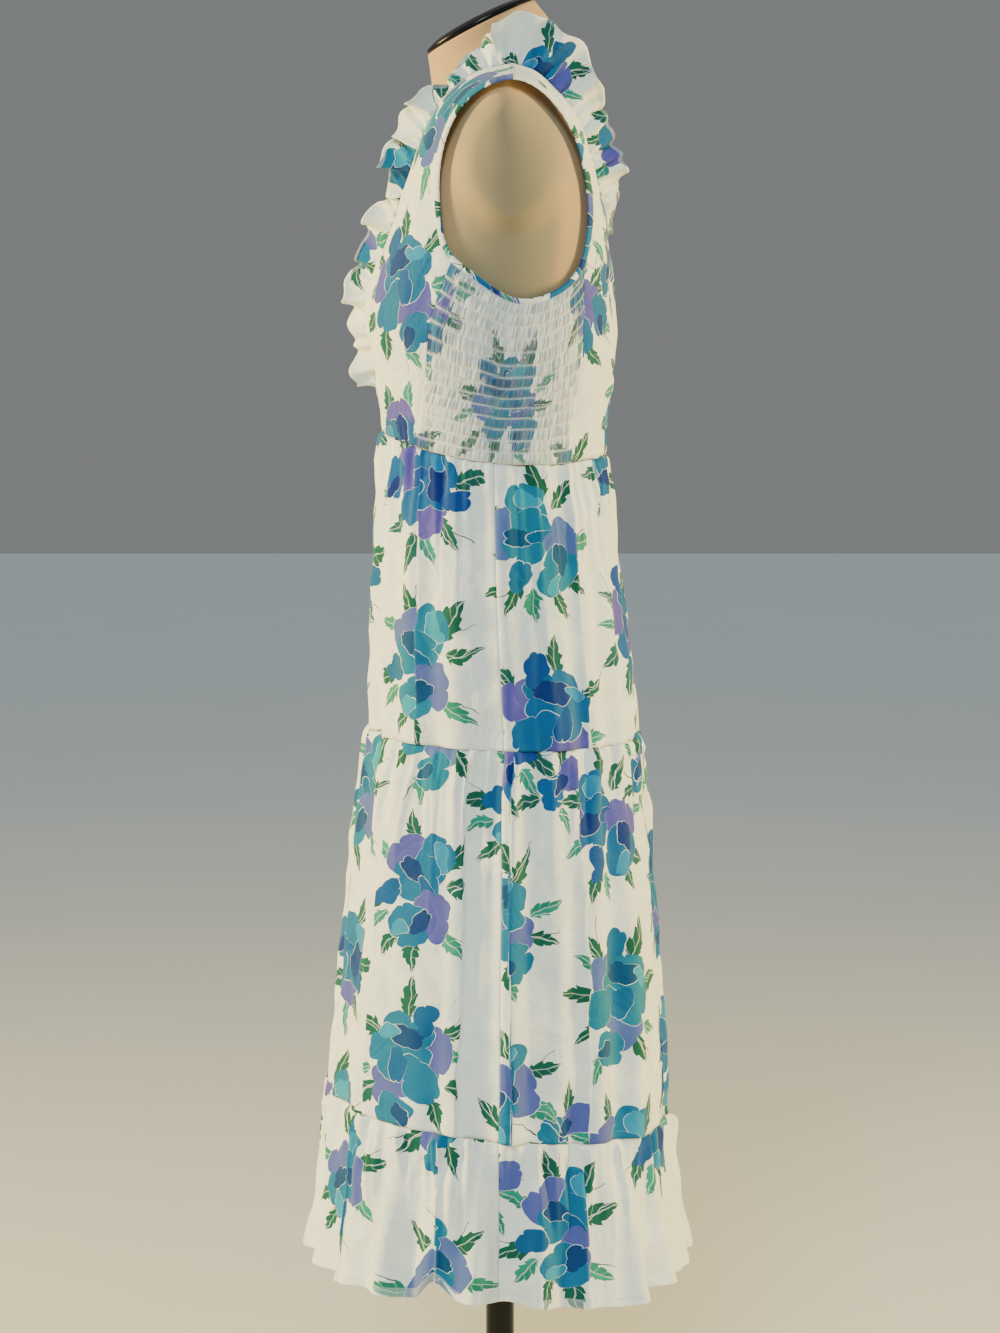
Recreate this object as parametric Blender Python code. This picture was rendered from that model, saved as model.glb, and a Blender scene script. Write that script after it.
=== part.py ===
"""Floral midi dress on an armless dress form with a pole stand.

The dress faces -Y, the wearer's left is +X and the floor is z = 0. Sizes are in metres.
A level counts the rows of a ring table, an angle starts at centre front and turns to the wearer's left.
"""
import math
from collections import namedtuple

import bmesh
import bpy
from mathutils import Vector

# Cloth and seams
WALL = 0.0015
SEAM_GAP = 0.0003
UNDERLAP_DEPTH = 0.0032
UNDERLAP_SIDE_SHARE = 0.07
UNDERLAP_TOP = 0.80
UNDERLAP_TOP_SHARE = 0.12
BINDING_WIDTH = 0.005
BINDING_RAISE = 0.0006
PANEL_OUTSET = BINDING_WIDTH + SEAM_GAP / 2

# Smocking on the side panels
SMOCK_ROWS = 14
SMOCK_PUCKERS = 4
SMOCK_PUFF = 0.0022
SMOCK_PUCKER_DEPTH = 0.0010

# Neck ruffle
RUFFLE_WIDTH = 0.031
RUFFLE_SHOULDER_WIDTH = 0.050
RUFFLE_WAVE_LENGTH = 0.038
RUFFLE_SAMPLES_PER_WAVE = 6
RUFFLE_SWING = 0.0068
RUFFLE_START = 0.012
RUFFLE_EASE = 0.030
RUFFLE_END = 0.006
RUFFLE_BACK_TAPER = 0.075
RUFFLE_WAIST_TAPER = 0.025
RUFFLE_UNDERLAP_TAPER = 0.09
RUFFLE_STEPS = (0.0, 0.45, 1.0)
RUFFLE_SHOULDER_REACH = 0.046
RUFFLE_SHOULDER_SHIFT = 0.020
RUFFLE_LEAN = math.radians(58)
RUFFLE_SHOULDER_LEAN = math.radians(88)

# Panels meet here: angles at the waist seam and places on the armhole outline
SIDE_FRONT_ANGLE = math.radians(47.5)
SIDE_BACK_ANGLE = math.radians(131.0)
WRAP_END_ANGLE = math.radians(-29.0)
ARMHOLE_FRONT_CORNER = 5.3
ARMHOLE_BACK_CORNER = 9.2

# Rows of the panels below and above the armhole's corners
LOWER_ROWS = 7
UPPER_ROWS = 10
FRONT_COLUMNS = 12
BACK_COLUMNS = 8

# Skirt meshes
SKIRT_COLUMNS = 40

# Stand
BASE_RADIUS = 0.170
BASE_THICKNESS = 0.012
BASE_CROWN = 0.020
HUB_RADIUS = 0.026
HUB_HEIGHT = 0.060
POLE_RADIUS = 0.0145
FORM_BOTTOM = 0.775
RIM_EASE = 0.003
CAP_DOME = 0.011
CAP_EDGE = 0.004
CapStep = namedtuple("CapStep", "spread height")
CAP_STEPS = (
    CapStep(0.98, 0.0),
    CapStep(0.98, CAP_EDGE),
    CapStep(0.86, 0.62 * CAP_DOME),
    CapStep(0.60, 0.88 * CAP_DOME),
    CapStep(0.25, CAP_DOME),
)

# Segments and rows of the form and stand
FORM_COLUMNS = 36
FORM_ROWS = 25
CAP_COLUMNS = 28
BASE_SEGMENTS = 36
POLE_SEGMENTS = 24

# Arm plate of the form: a rounded stub inside each armhole
ARM_PLATE_Y = 0.012
ARM_PLATE_Z = 1.388
ARM_PLATE_HALF_Y = 0.060
ARM_PLATE_HALF_Z = 0.072
ARM_PLATE_REACH = 0.016
ARM_PLATE_EDGE_SHARE = 0.35
ARM_PLATE_INNER_X = 0.05

Ring = namedtuple("Ring", "front_z side_z back_z front_y back_y half_width squareness")

# Bodice from the waist seam to the shoulder ridge, where front and back meet
BODICE = (
    Ring(1.129, 1.102, 1.106, -0.1170, 0.1050, 0.122, 0.05),
    Ring(1.163, 1.146, 1.150, -0.1205, 0.1080, 0.129, 0.06),
    Ring(1.195, 1.185, 1.190, -0.1250, 0.1140, 0.139, 0.07),
    Ring(1.238, 1.234, 1.235, -0.1320, 0.1152, 0.150, 0.08),
    Ring(1.284, 1.278, 1.280, -0.1245, 0.1125, 0.155, 0.10),
    Ring(1.332, 1.322, 1.326, -0.1070, 0.1065, 0.155, 0.13),
    Ring(1.380, 1.368, 1.376, -0.0910, 0.0965, 0.153, 0.16),
    Ring(1.424, 1.408, 1.420, -0.0775, 0.0850, 0.152, 0.18),
    Ring(1.457, 1.436, 1.455, -0.0590, 0.0665, 0.158, 0.14),
    Ring(1.482, 1.452, 1.481, -0.0280, 0.0415, 0.167, 0.06),
    Ring(1.494, 1.454, 1.494, 0.0123, 0.0127, 0.176, 0.00),
)
RIDGE = len(BODICE) - 1

# Skirt from the waist seam to the hem
SKIRT = (
    Ring(1.129, 1.102, 1.106, -0.1170, 0.1050, 0.122, 0.05),
    Ring(1.070, 1.050, 1.054, -0.1215, 0.1120, 0.140, 0.05),
    Ring(1.000, 0.985, 0.990, -0.1255, 0.1190, 0.157, 0.04),
    Ring(0.920, 0.911, 0.912, -0.1288, 0.1290, 0.168, 0.04),
    Ring(0.835, 0.829, 0.828, -0.1295, 0.1380, 0.173, 0.04),
    Ring(0.790, 0.784, 0.782, -0.1385, 0.1420, 0.177, 0.04),
    Ring(0.700, 0.693, 0.690, -0.1490, 0.1520, 0.184, 0.03),
    Ring(0.605, 0.594, 0.588, -0.1590, 0.1600, 0.190, 0.03),
    Ring(0.516, 0.503, 0.492, -0.1670, 0.1665, 0.194, 0.03),
    Ring(0.469, 0.454, 0.439, -0.1700, 0.1670, 0.196, 0.03),
    Ring(0.385, 0.377, 0.362, -0.1800, 0.1780, 0.204, 0.02),
    Ring(0.300, 0.297, 0.284, -0.1920, 0.1895, 0.211, 0.02),
)

# Form under the dress, from its bottom plate to the slanted neck cut
FORM = (
    Ring(0.775, 0.775, 0.775, -0.0850, 0.0950, 0.128, 0.02),
    Ring(0.792, 0.792, 0.792, -0.1040, 0.1130, 0.147, 0.02),
    Ring(0.840, 0.840, 0.840, -0.1150, 0.1230, 0.160, 0.03),
    Ring(0.910, 0.905, 0.905, -0.1170, 0.1190, 0.158, 0.03),
    Ring(0.985, 0.975, 0.980, -0.1140, 0.1090, 0.146, 0.03),
    Ring(1.055, 1.040, 1.045, -0.1100, 0.1010, 0.128, 0.04),
    Ring(1.129, 1.102, 1.106, -0.1090, 0.0990, 0.116, 0.05),
    Ring(1.163, 1.146, 1.150, -0.1125, 0.1020, 0.123, 0.06),
    Ring(1.195, 1.185, 1.190, -0.1165, 0.1080, 0.133, 0.07),
    Ring(1.238, 1.234, 1.235, -0.1235, 0.1095, 0.144, 0.08),
    Ring(1.284, 1.278, 1.280, -0.1165, 0.1070, 0.149, 0.10),
    Ring(1.332, 1.322, 1.326, -0.0995, 0.1010, 0.149, 0.12),
    Ring(1.380, 1.368, 1.376, -0.0850, 0.0910, 0.148, 0.13),
    Ring(1.416, 1.406, 1.412, -0.0730, 0.0800, 0.147, 0.08),
    Ring(1.432, 1.440, 1.438, -0.0690, 0.0690, 0.147, -0.08),
    Ring(1.440, 1.459, 1.450, -0.0670, 0.0660, 0.138, -0.22),
    Ring(1.446, 1.4710, 1.462, -0.0660, 0.0640, 0.113, -0.28),
    Ring(1.453, 1.4787, 1.475, -0.0660, 0.0620, 0.084, -0.20),
    Ring(1.468, 1.4920, 1.502, -0.0670, 0.0590, 0.063, -0.04),
    Ring(1.484, 1.5080, 1.528, -0.0690, 0.0520, 0.054, 0.00),
    Ring(1.499, 1.5255, 1.552, -0.0710, 0.0340, 0.050, 0.00),
)

# Armhole opening seen from the side, from the shoulder down the front and up the back
ArmholePoint = namedtuple("ArmholePoint", "y z")
ARMHOLE = (
    ArmholePoint(0.0125, 1.4650),
    ArmholePoint(-0.0200, 1.4540),
    ArmholePoint(-0.0430, 1.4290),
    ArmholePoint(-0.0555, 1.3920),
    ArmholePoint(-0.0570, 1.3500),
    ArmholePoint(-0.0490, 1.3070),
    ArmholePoint(-0.0210, 1.2810),
    ArmholePoint(0.0140, 1.2600),
    ArmholePoint(0.0480, 1.2650),
    ArmholePoint(0.0740, 1.2880),
    ArmholePoint(0.0840, 1.3300),
    ArmholePoint(0.0815, 1.3750),
    ArmholePoint(0.0690, 1.4180),
    ArmholePoint(0.0430, 1.4520),
)
ARMHOLE_CENTRE = ArmholePoint(0.0135, 1.3620)

# Neckline edge seen from the front, from the shoulder ridge down; half the back is a V
EdgePoint = namedtuple("EdgePoint", "x z")
FRONT_EDGE = (
    EdgePoint(0.0850, 1.4840),
    EdgePoint(0.0810, 1.4660),
    EdgePoint(0.0740, 1.4370),
    EdgePoint(0.0540, 1.3950),
    EdgePoint(0.0240, 1.3600),
    EdgePoint(0.0040, 1.3360),
    EdgePoint(-0.0130, 1.3030),
    EdgePoint(-0.0260, 1.2610),
    EdgePoint(-0.0360, 1.2150),
    EdgePoint(-0.0460, 1.1650),
)
BACK_EDGE = (
    EdgePoint(0.0850, 1.4840),
    EdgePoint(0.0810, 1.4640),
    EdgePoint(0.0730, 1.4350),
    EdgePoint(0.0560, 1.4000),
    EdgePoint(0.0340, 1.3600),
    EdgePoint(0.0000, 1.3120),
)
# Ends of the ruffles up the front edge: by the waist, and where the right front goes under the left
LEFT_RUFFLE_END = 0.08
RIGHT_RUFFLE_END = 0.62

# Places down the front where the ruffle is folded low
Dip = namedtuple("Dip", "z half_height depth")
RUFFLE_DIPS = (
    Dip(1.350, 0.014, 0.50),
    Dip(1.461, 0.020, 0.66),
)

Tier = namedtuple("Tier", "name top bottom rows waves phase top_depth bottom_depth")
TIERS = (
    Tier("skirt_top_tier", 0, 4, 5, 20, 0.4, 0.0012, 0.0026),
    Tier("skirt_middle_tier", 4, 9, 6, 20, 2.1, 0.0010, 0.0042),
    Tier("skirt_flounce", 9, 11, 4, 21, 3.7, 0.0014, 0.0085),
)

# Largest folds: angle and half width in degrees, depth out of the ring, place down the tier
Fold = namedtuple("Fold", "tier angle half_width depth start end")
FOLDS = (
    Fold(0, 46, 9, 0.0050, 0.15, 1.20),
    Fold(0, 86, 8, -0.0030, 0.00, 1.20),
    Fold(0, 150, 14, 0.0040, 0.20, 1.20),
    Fold(0, 214, 12, -0.0040, 0.10, 1.20),
    Fold(0, 268, 10, 0.0035, 0.00, 1.20),
    Fold(0, 318, 10, 0.0045, 0.20, 1.20),
    Fold(1, 42, 8, 0.0070, 0.05, 1.20),
    Fold(1, 78, 7, -0.0060, 0.00, 1.20),
    Fold(1, 93, 7, 0.0050, 0.00, 1.20),
    Fold(1, 108, 8, -0.0050, 0.30, 1.20),
    Fold(1, 146, 14, 0.0060, 0.20, 1.20),
    Fold(1, 196, 11, -0.0060, 0.10, 1.20),
    Fold(1, 236, 12, 0.0060, 0.25, 1.20),
    Fold(1, 292, 10, -0.0060, 0.10, 1.20),
    Fold(1, 336, 11, 0.0060, 0.20, 1.20),
    Fold(2, 46, 9, 0.0090, 0.00, 1.20),
    Fold(2, 66, 6, -0.0090, 0.10, 1.20),
    Fold(2, 76, 6, 0.0090, 0.10, 1.20),
    Fold(2, 132, 12, 0.0080, 0.10, 1.20),
    Fold(2, 172, 10, -0.0070, 0.20, 1.20),
    Fold(2, 222, 12, 0.0080, 0.10, 1.20),
    Fold(2, 281, 11, -0.0090, 0.10, 1.20),
    Fold(2, 346, 8, 0.0090, -0.50, 0.62),
)


def catmull(a, b, c, d, f):
    """Smooth value a fraction f of the way from b to c."""
    return b + 0.5 * f * (c - a + f * (2 * a - 5 * b + 4 * c - d + f * (3 * (b - c) + d - a)))


def row_at(table, level):
    """Row of a table at a fractional level, carried on in a straight line past its ends."""
    last = len(table) - 1
    step = min(max(math.floor(level), 0), last - 1)
    b, c = table[step], table[step + 1]
    a = table[step - 1] if step > 0 else type(b)(*(2 * p - q for p, q in zip(b, c)))
    d = table[step + 2] if step + 2 <= last else type(b)(*(2 * q - p for p, q in zip(b, c)))
    return type(b)(*(catmull(p, q, r, s, level - step) for p, q, r, s in zip(a, b, c, d)))


def ring_point(rings, angle, level):
    """Point of a ring table's surface; x and y are eased outward at the corners by the squareness."""
    ring = row_at(rings, level)
    sine, cosine = math.sin(angle), math.cos(angle)
    middle = (ring.front_y + ring.back_y) / 2
    half_depth = (ring.back_y - ring.front_y) / 2
    mean_z = (ring.front_z + ring.back_z) / 2
    return Vector((
        ring.half_width * sine * (1 + ring.squareness * cosine ** 2),
        middle - half_depth * cosine * (1 + ring.squareness * sine ** 2),
        ring.side_z + (ring.front_z - ring.back_z) / 2 * cosine + (mean_z - ring.side_z) * cosine ** 2,
    ))


def bodice_point(angle, level):
    return ring_point(BODICE, angle, level)


def normal_at(shape, u, v, step=1e-3):
    """Outward direction of a surface whose u turns to the wearer's left and whose v runs up."""
    across = shape(u + step, v) - shape(u - step, v)
    upward = shape(u, v + step) - shape(u, v - step)
    return across.cross(upward).normalized()


def halve(function, low, high, rounds=26):
    """Place between low and high where a rising function passes zero."""
    for _ in range(rounds):
        middle = (low + high) / 2
        if function(middle) < 0:
            low = middle
        else:
            high = middle
    return (low + high) / 2


def place_from_side(y, z):
    """Angle and level of the left bodice's point that is seen at y, z from the side."""
    if BODICE[RIDGE].front_y <= y <= BODICE[RIDGE].back_y:
        return halve(lambda angle: z - bodice_point(angle, RIDGE).z, 0, math.pi / 2), RIDGE

    def angle_on(level):
        return halve(lambda angle: bodice_point(angle, level).y - y, 0, math.pi)

    level = halve(lambda level: bodice_point(angle_on(level), level).z - z, 0, RIDGE)
    return angle_on(level), level


def place_from_front(x, z, back=False):
    """Angle and level of the bodice's front or back point that is seen at x, z from the front."""
    def angle_on(level):
        angle = halve(lambda angle: bodice_point(angle, level).x - x, -math.pi / 2, math.pi / 2)
        return math.pi - angle if back else angle

    level = halve(lambda level: bodice_point(angle_on(level), level).z - z, 0, RIDGE)
    return angle_on(level), level


def armhole_outline(place, outset=0.0):
    """Angle and level on the armhole outline, place rows along its table and outset from the opening."""
    count = len(ARMHOLE)
    step = math.floor(place)
    rows = [ARMHOLE[(step + shift) % count] for shift in (-1, 0, 1, 2)]
    y, z = (catmull(*column, place - step) for column in zip(*rows))
    away = Vector((y - ARMHOLE_CENTRE.y, z - ARMHOLE_CENTRE.z))
    away *= 1 + outset / away.length
    return place_from_side(ARMHOLE_CENTRE.y + away.x, ARMHOLE_CENTRE.z + away.y)


def sampled(curve, count):
    """Angle and level curve read once at count places, so that each later read is quick."""
    knots = [Vector(curve(i / (count - 1))) for i in range(count)]

    def read(t):
        place = t * (count - 1)
        step = min(max(math.floor(place), 0), count - 2)
        return knots[step].lerp(knots[step + 1], place - step)

    return read


Place = namedtuple("Place", "angle level")


def edge_curve(table, rows, back=False, waist_angle=None):
    """Neckline edge from the bottom up: t = 0 at its lowest row or the waist, t = 1 at the shoulder."""
    places = [Place(*place_from_front(row.x, row.z, back)) for row in table]
    places[0] = Place(places[0].angle, RIDGE)
    if waist_angle is not None:
        places.append(Place(waist_angle, 0))
    places.reverse()
    return sampled(lambda t: row_at(places, t * (len(places) - 1)), rows + 1)


def side_curve(corner_place, waist_angle, shoulder_place):
    """Outer edge of a front or back panel: up the smocked panel's seam, then along the armhole."""
    rows = LOWER_ROWS + UPPER_ROWS
    corner = Vector(armhole_outline(corner_place, PANEL_OUTSET))
    waist = Vector((waist_angle, 0))

    def curve(t):
        way = (t * rows - LOWER_ROWS) / UPPER_ROWS
        if way <= 0:
            return waist.lerp(corner, 1 + way * UPPER_ROWS / LOWER_ROWS)
        place = corner_place + (shoulder_place - corner_place) * way
        angle, level = armhole_outline(place, PANEL_OUTSET)
        return (math.pi - angle if way > 0.999 and shoulder_place else angle, level)

    return sampled(curve, rows + 1)


def make_material(name, colour, roughness, metallic=0.0):
    material = bpy.data.materials.new(name)
    material.use_nodes = True
    shader = material.node_tree.nodes["Principled BSDF"]
    shader.inputs["Base Color"].default_value = (*colour, 1.0)
    shader.inputs["Roughness"].default_value = roughness
    shader.inputs["Metallic"].default_value = metallic
    material.diffuse_color = (*colour, 1.0)
    return material


def add_object(name, work, material):
    """Object from a bmesh, with its faces turned outward and shaded smooth."""
    bmesh.ops.recalc_face_normals(work, faces=work.faces)
    mesh = bpy.data.meshes.new(name)
    work.to_mesh(mesh)
    work.free()
    mesh.materials.append(material)
    mesh.shade_smooth()
    mesh.set_sharp_from_angle(angle=math.radians(40))
    result = bpy.data.objects.new(name, mesh)
    bpy.context.scene.collection.objects.link(result)
    return result


def wall_solid(name, outer, inner, material, closed=False):
    """Closed wall between two grids of points, given as rows from bottom to top.

    Both grids are split along the same diagonals, so a twisted stretch keeps its thickness.
    """
    work = bmesh.new()
    grids = [[[work.verts.new(point) for point in row] for row in grid] for grid in (outer, inner)]
    rows, columns = len(outer), len(outer[0])
    spans = range(columns if closed else columns - 1)
    for grid in grids:
        for r in range(rows - 1):
            for c in spans:
                n = (c + 1) % columns
                work.faces.new((grid[r][c], grid[r][n], grid[r + 1][n]))
                work.faces.new((grid[r][c], grid[r + 1][n], grid[r + 1][c]))
    for r in (0, rows - 1):
        for c in spans:
            n = (c + 1) % columns
            work.faces.new((grids[0][r][c], grids[0][r][n], grids[1][r][n], grids[1][r][c]))
    if not closed:
        for c in (0, columns - 1):
            for r in range(rows - 1):
                work.faces.new((grids[0][r][c], grids[0][r + 1][c], grids[1][r + 1][c], grids[1][r][c]))
    return add_object(name, work, material)


def panel_grids(place, surface, columns, rows, raised=None, sunk=None, level_rims=False):
    """Outer and inner points of a panel: place gives the surface's u and v at s across and t up."""
    outer, inner = [], []
    for r in range(rows + 1):
        t = r / rows
        width = max((surface(*place(1, t)) - surface(*place(0, t))).length, 0.01)
        outer.append([])
        inner.append([])
        for c in range(columns + 1):
            s = c / columns
            height = max((surface(*place(s, 1)) - surface(*place(s, 0))).length, 0.01)
            s_in = s + (0.5 - s) * SEAM_GAP / width
            t_in = t + (0.5 - t) * SEAM_GAP / height
            u, v = place(s_in, t_in)
            outward = normal_at(surface, u, v)
            if level_rims:
                outward = Vector((outward.x, outward.y, 0)).normalized()
            if v > RIDGE - 0.05:
                outward = Vector((outward.x, 0, outward.z)).normalized()
            point = surface(u, v) - outward * (sunk(s, t) if sunk else 0)
            outer[-1].append(point + outward * (raised(s, t) if raised else 0))
            inner[-1].append(point - outward * WALL)
    return outer, inner


def cloth_panel(name, place, surface, columns, rows, material, raised=None, sunk=None, level_rims=False):
    """Wall on a surface: its outer points may be raised and both faces sunk by functions of s and t."""
    outer, inner = panel_grids(place, surface, columns, rows, raised, sunk, level_rims)
    return wall_solid(name, outer, inner, material)


def mirrored(source, name):
    """The same piece on the wearer's other side."""
    result = source.copy()
    result.name = name
    result.data = source.data.copy()
    result.data.name = name
    for vertex in result.data.vertices:
        vertex.co.x = -vertex.co.x
    result.data.flip_normals()
    bpy.context.scene.collection.objects.link(result)
    return result


def ease(f):
    """Smooth step from 0 to 1."""
    f = min(max(f, 0.0), 1.0)
    return f * f * (3 - 2 * f)


def gathers(angle, tier):
    """Uneven waves round the skirt, at most about 1.5 high."""
    swing = 1.1 * math.sin(2 * angle + tier.phase) + 0.7 * math.sin(5 * angle + 2 * tier.phase)
    size = 1 + 0.30 * math.sin(3 * angle + tier.phase) + 0.20 * math.sin(7 * angle - tier.phase)
    return size * math.cos(tier.waves * angle + swing)


def fold_height(index, angle, way):
    """Height of a tier's largest folds at an angle, way down the tier."""
    total = 0.0
    for fold in FOLDS:
        if fold.tier != index:
            continue
        apart = math.degrees(angle) - fold.angle
        apart = abs((apart + 180) % 360 - 180) / fold.half_width
        if apart < 1:
            rise = ease((way - fold.start) / 0.35) * ease((fold.end - way) / 0.12)
            total += fold.depth * rise * math.cos(apart * math.pi / 2) ** 2
    return total


def skirt_shape(index):
    """Surface of a tier: u is the angle, v is the level counted upward, so it is below zero."""
    tier = TIERS[index]
    above = TIERS[index - 1] if index > 0 else None

    def surface(angle, height_level):
        level = -height_level
        way = min(max((level - tier.top) / (tier.bottom - tier.top), 0), 1)
        depth = tier.top_depth + (tier.bottom_depth - tier.top_depth) * way ** 1.2
        height = depth * gathers(angle, tier) + fold_height(index, angle, way)
        if above:
            held = above.bottom_depth * gathers(angle, above) + fold_height(index - 1, angle, 1)
            height += held * (1 - way) ** 1.5
        point = ring_point(SKIRT, angle, level)
        outward = (ring_point(SKIRT, angle + 1e-3, level) - ring_point(SKIRT, angle - 1e-3, level))
        outward = Vector((outward.y, -outward.x, 0)).normalized()
        return point + outward * height

    return surface


def skirt_half(index, side, start, cloth):
    """Front or back half of a tier, between the side seams."""
    tier = TIERS[index]
    surface = skirt_shape(index)

    def place(s, t):
        return start + s * math.pi, (tier.bottom - tier.top) * t - tier.bottom

    return cloth_panel(f"{tier.name}_{side}", place, surface, SKIRT_COLUMNS, tier.rows, cloth,
                       level_rims=True)


def make_skirt(cloth):
    for index in range(len(TIERS)):
        skirt_half(index, "front", -math.pi / 2, cloth)
        skirt_half(index, "back", math.pi / 2, cloth)


def make_bodice(cloth):
    """Two crossed fronts, a back, two smocked sides and the armhole bindings."""
    rows = LOWER_ROWS + UPPER_ROWS
    free_edge = edge_curve(FRONT_EDGE, rows, waist_angle=WRAP_END_ANGLE)
    front_side = side_curve(ARMHOLE_FRONT_CORNER, SIDE_FRONT_ANGLE, 0)

    def front(s, t):
        return free_edge(t).lerp(front_side(t), s)

    def underlap(s, t):
        """The right front lies under the left front, but for its own side edge."""
        below_top = (UNDERLAP_TOP - t) / UNDERLAP_TOP_SHARE
        return UNDERLAP_DEPTH * ease((1 - s) / UNDERLAP_SIDE_SHARE) * ease(below_top)

    cloth_panel("bodice_front_left", front, bodice_point, FRONT_COLUMNS, rows, cloth)
    source = cloth_panel("bodice_front_source", front, bodice_point, FRONT_COLUMNS, rows, cloth,
                         sunk=underlap)
    mirrored(source, "bodice_front_right")
    bpy.data.objects.remove(source)
    make_back(cloth)
    panel = cloth_panel("smocked_side_left", lambda s, t: (s, t), smocked_surface(), 2 * SMOCK_PUCKERS,
                        2 * SMOCK_ROWS, cloth, raised=smocking)
    mirrored(panel, "smocked_side_right")
    binding = armhole_binding(cloth)
    mirrored(binding, "armhole_binding_right")


def make_back(cloth):
    """One back piece: it is whole below the V and splits into two shoulder straps above it."""
    neck_edge = edge_curve(BACK_EDGE, UPPER_ROWS, back=True)
    side_edge = side_curve(ARMHOLE_BACK_CORNER, SIDE_BACK_ANGLE, len(ARMHOLE))
    join_t = LOWER_ROWS / (LOWER_ROWS + UPPER_ROWS)
    v_level = neck_edge(0).y

    def half(s, t):
        """s = 0 at the side edge and 1 at centre back, or at the neckline above the V."""
        if t <= join_t:
            middle = Vector((math.pi, v_level * t / join_t))
        else:
            middle = neck_edge((t - join_t) / (1 - join_t))
        return side_edge(t).lerp(middle, s)

    outer, inner = panel_grids(half, bodice_point, BACK_COLUMNS, LOWER_ROWS + UPPER_ROWS)
    back_solid(outer, inner, LOWER_ROWS, cloth)


def back_solid(outer, inner, v_rows, cloth):
    """Left half of the back as a wall, mirrored and joined at centre back below the V."""
    work = bmesh.new()
    columns = len(outer[0]) - 1

    def side_verts(grid, flip):
        rows = []
        for row in grid:
            rows.append([work.verts.new((-p.x if flip else p.x, p.y, p.z)) for p in row])
        return rows

    halves = [[side_verts(grid, flip) for grid in (outer, inner)] for flip in (False, True)]
    for layer in (0, 1):
        for r in range(v_rows + 1):
            for half in halves:
                half[layer][r][columns].co.x = 0
    for half in halves:
        for grid in half:
            for r in range(len(outer) - 1):
                for c in range(columns):
                    work.faces.new((grid[r][c], grid[r][c + 1], grid[r + 1][c + 1], grid[r + 1][c]))
        top = len(outer) - 1
        for c in range(columns):
            for r in (0, top):
                work.faces.new((half[0][r][c], half[0][r][c + 1], half[1][r][c + 1], half[1][r][c]))
        for r in range(top):
            work.faces.new((half[0][r][0], half[0][r + 1][0], half[1][r + 1][0], half[1][r][0]))
            if r >= v_rows:
                work.faces.new((half[0][r][columns], half[0][r + 1][columns],
                                half[1][r + 1][columns], half[1][r][columns]))
    bmesh.ops.remove_doubles(work, verts=work.verts, dist=1e-6)
    add_object("bodice_back", work, cloth)


def smocked_surface():
    """Side panel from the waist up to the armhole, straight between the rows of its neighbours."""
    span = ARMHOLE_BACK_CORNER - ARMHOLE_FRONT_CORNER
    top_edge = sampled(lambda s: armhole_outline(ARMHOLE_FRONT_CORNER + span * s, PANEL_OUTSET),
                       2 * SMOCK_PUCKERS + 1)

    def knot(s, row):
        waist = Vector((SIDE_FRONT_ANGLE + (SIDE_BACK_ANGLE - SIDE_FRONT_ANGLE) * s, 0))
        place = waist.lerp(top_edge(s), row / LOWER_ROWS)
        return bodice_point(place.x, place.y)

    def surface(s, t):
        row = min(max(math.floor(t * LOWER_ROWS), 0), LOWER_ROWS - 1)
        return knot(s, row).lerp(knot(s, row + 1), t * LOWER_ROWS - row)

    return surface


def smocking(s, t):
    """Puffed rows between the elastic threads, with fine puckers along them; flat at the edges."""
    row_puff = SMOCK_PUFF * (0.5 - 0.5 * math.cos(2 * math.pi * SMOCK_ROWS * t))
    pucker = SMOCK_PUCKER_DEPTH * (0.5 - 0.5 * math.cos(2 * math.pi * SMOCK_PUCKERS * s))
    edge = ease(min(s, 1 - s) / 0.08)
    return (row_puff + pucker) * edge


def armhole_binding(cloth):
    """Narrow band all round the armhole, a little thicker than the panels that it meets row by row."""
    stretches = (
        (0, ARMHOLE_FRONT_CORNER, UPPER_ROWS),
        (ARMHOLE_FRONT_CORNER, ARMHOLE_BACK_CORNER, 2 * SMOCK_PUCKERS),
        (ARMHOLE_BACK_CORNER, len(ARMHOLE), UPPER_ROWS),
    )
    places = [start + (end - start) * i / steps for start, end, steps in stretches for i in range(steps)]
    outer, inner = [], []
    for step in (0.0, 0.5, 1.0):
        outer.append([])
        inner.append([])
        for place in places:
            angle, level = armhole_outline(place, BINDING_WIDTH * step)
            outward = normal_at(bodice_point, angle, level)
            if level == RIDGE:
                outward = Vector((outward.x, 0, outward.z)).normalized()
            point = bodice_point(angle, level)
            crown = BINDING_RAISE * (1 - (2 * step - 1) ** 2)
            outer[-1].append(point + outward * crown)
            inner[-1].append(point - outward * (WALL + crown))
    return wall_solid("armhole_binding_left", outer, inner, cloth, closed=True)


Frame = namedtuple("Frame", "point outward into")


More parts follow.
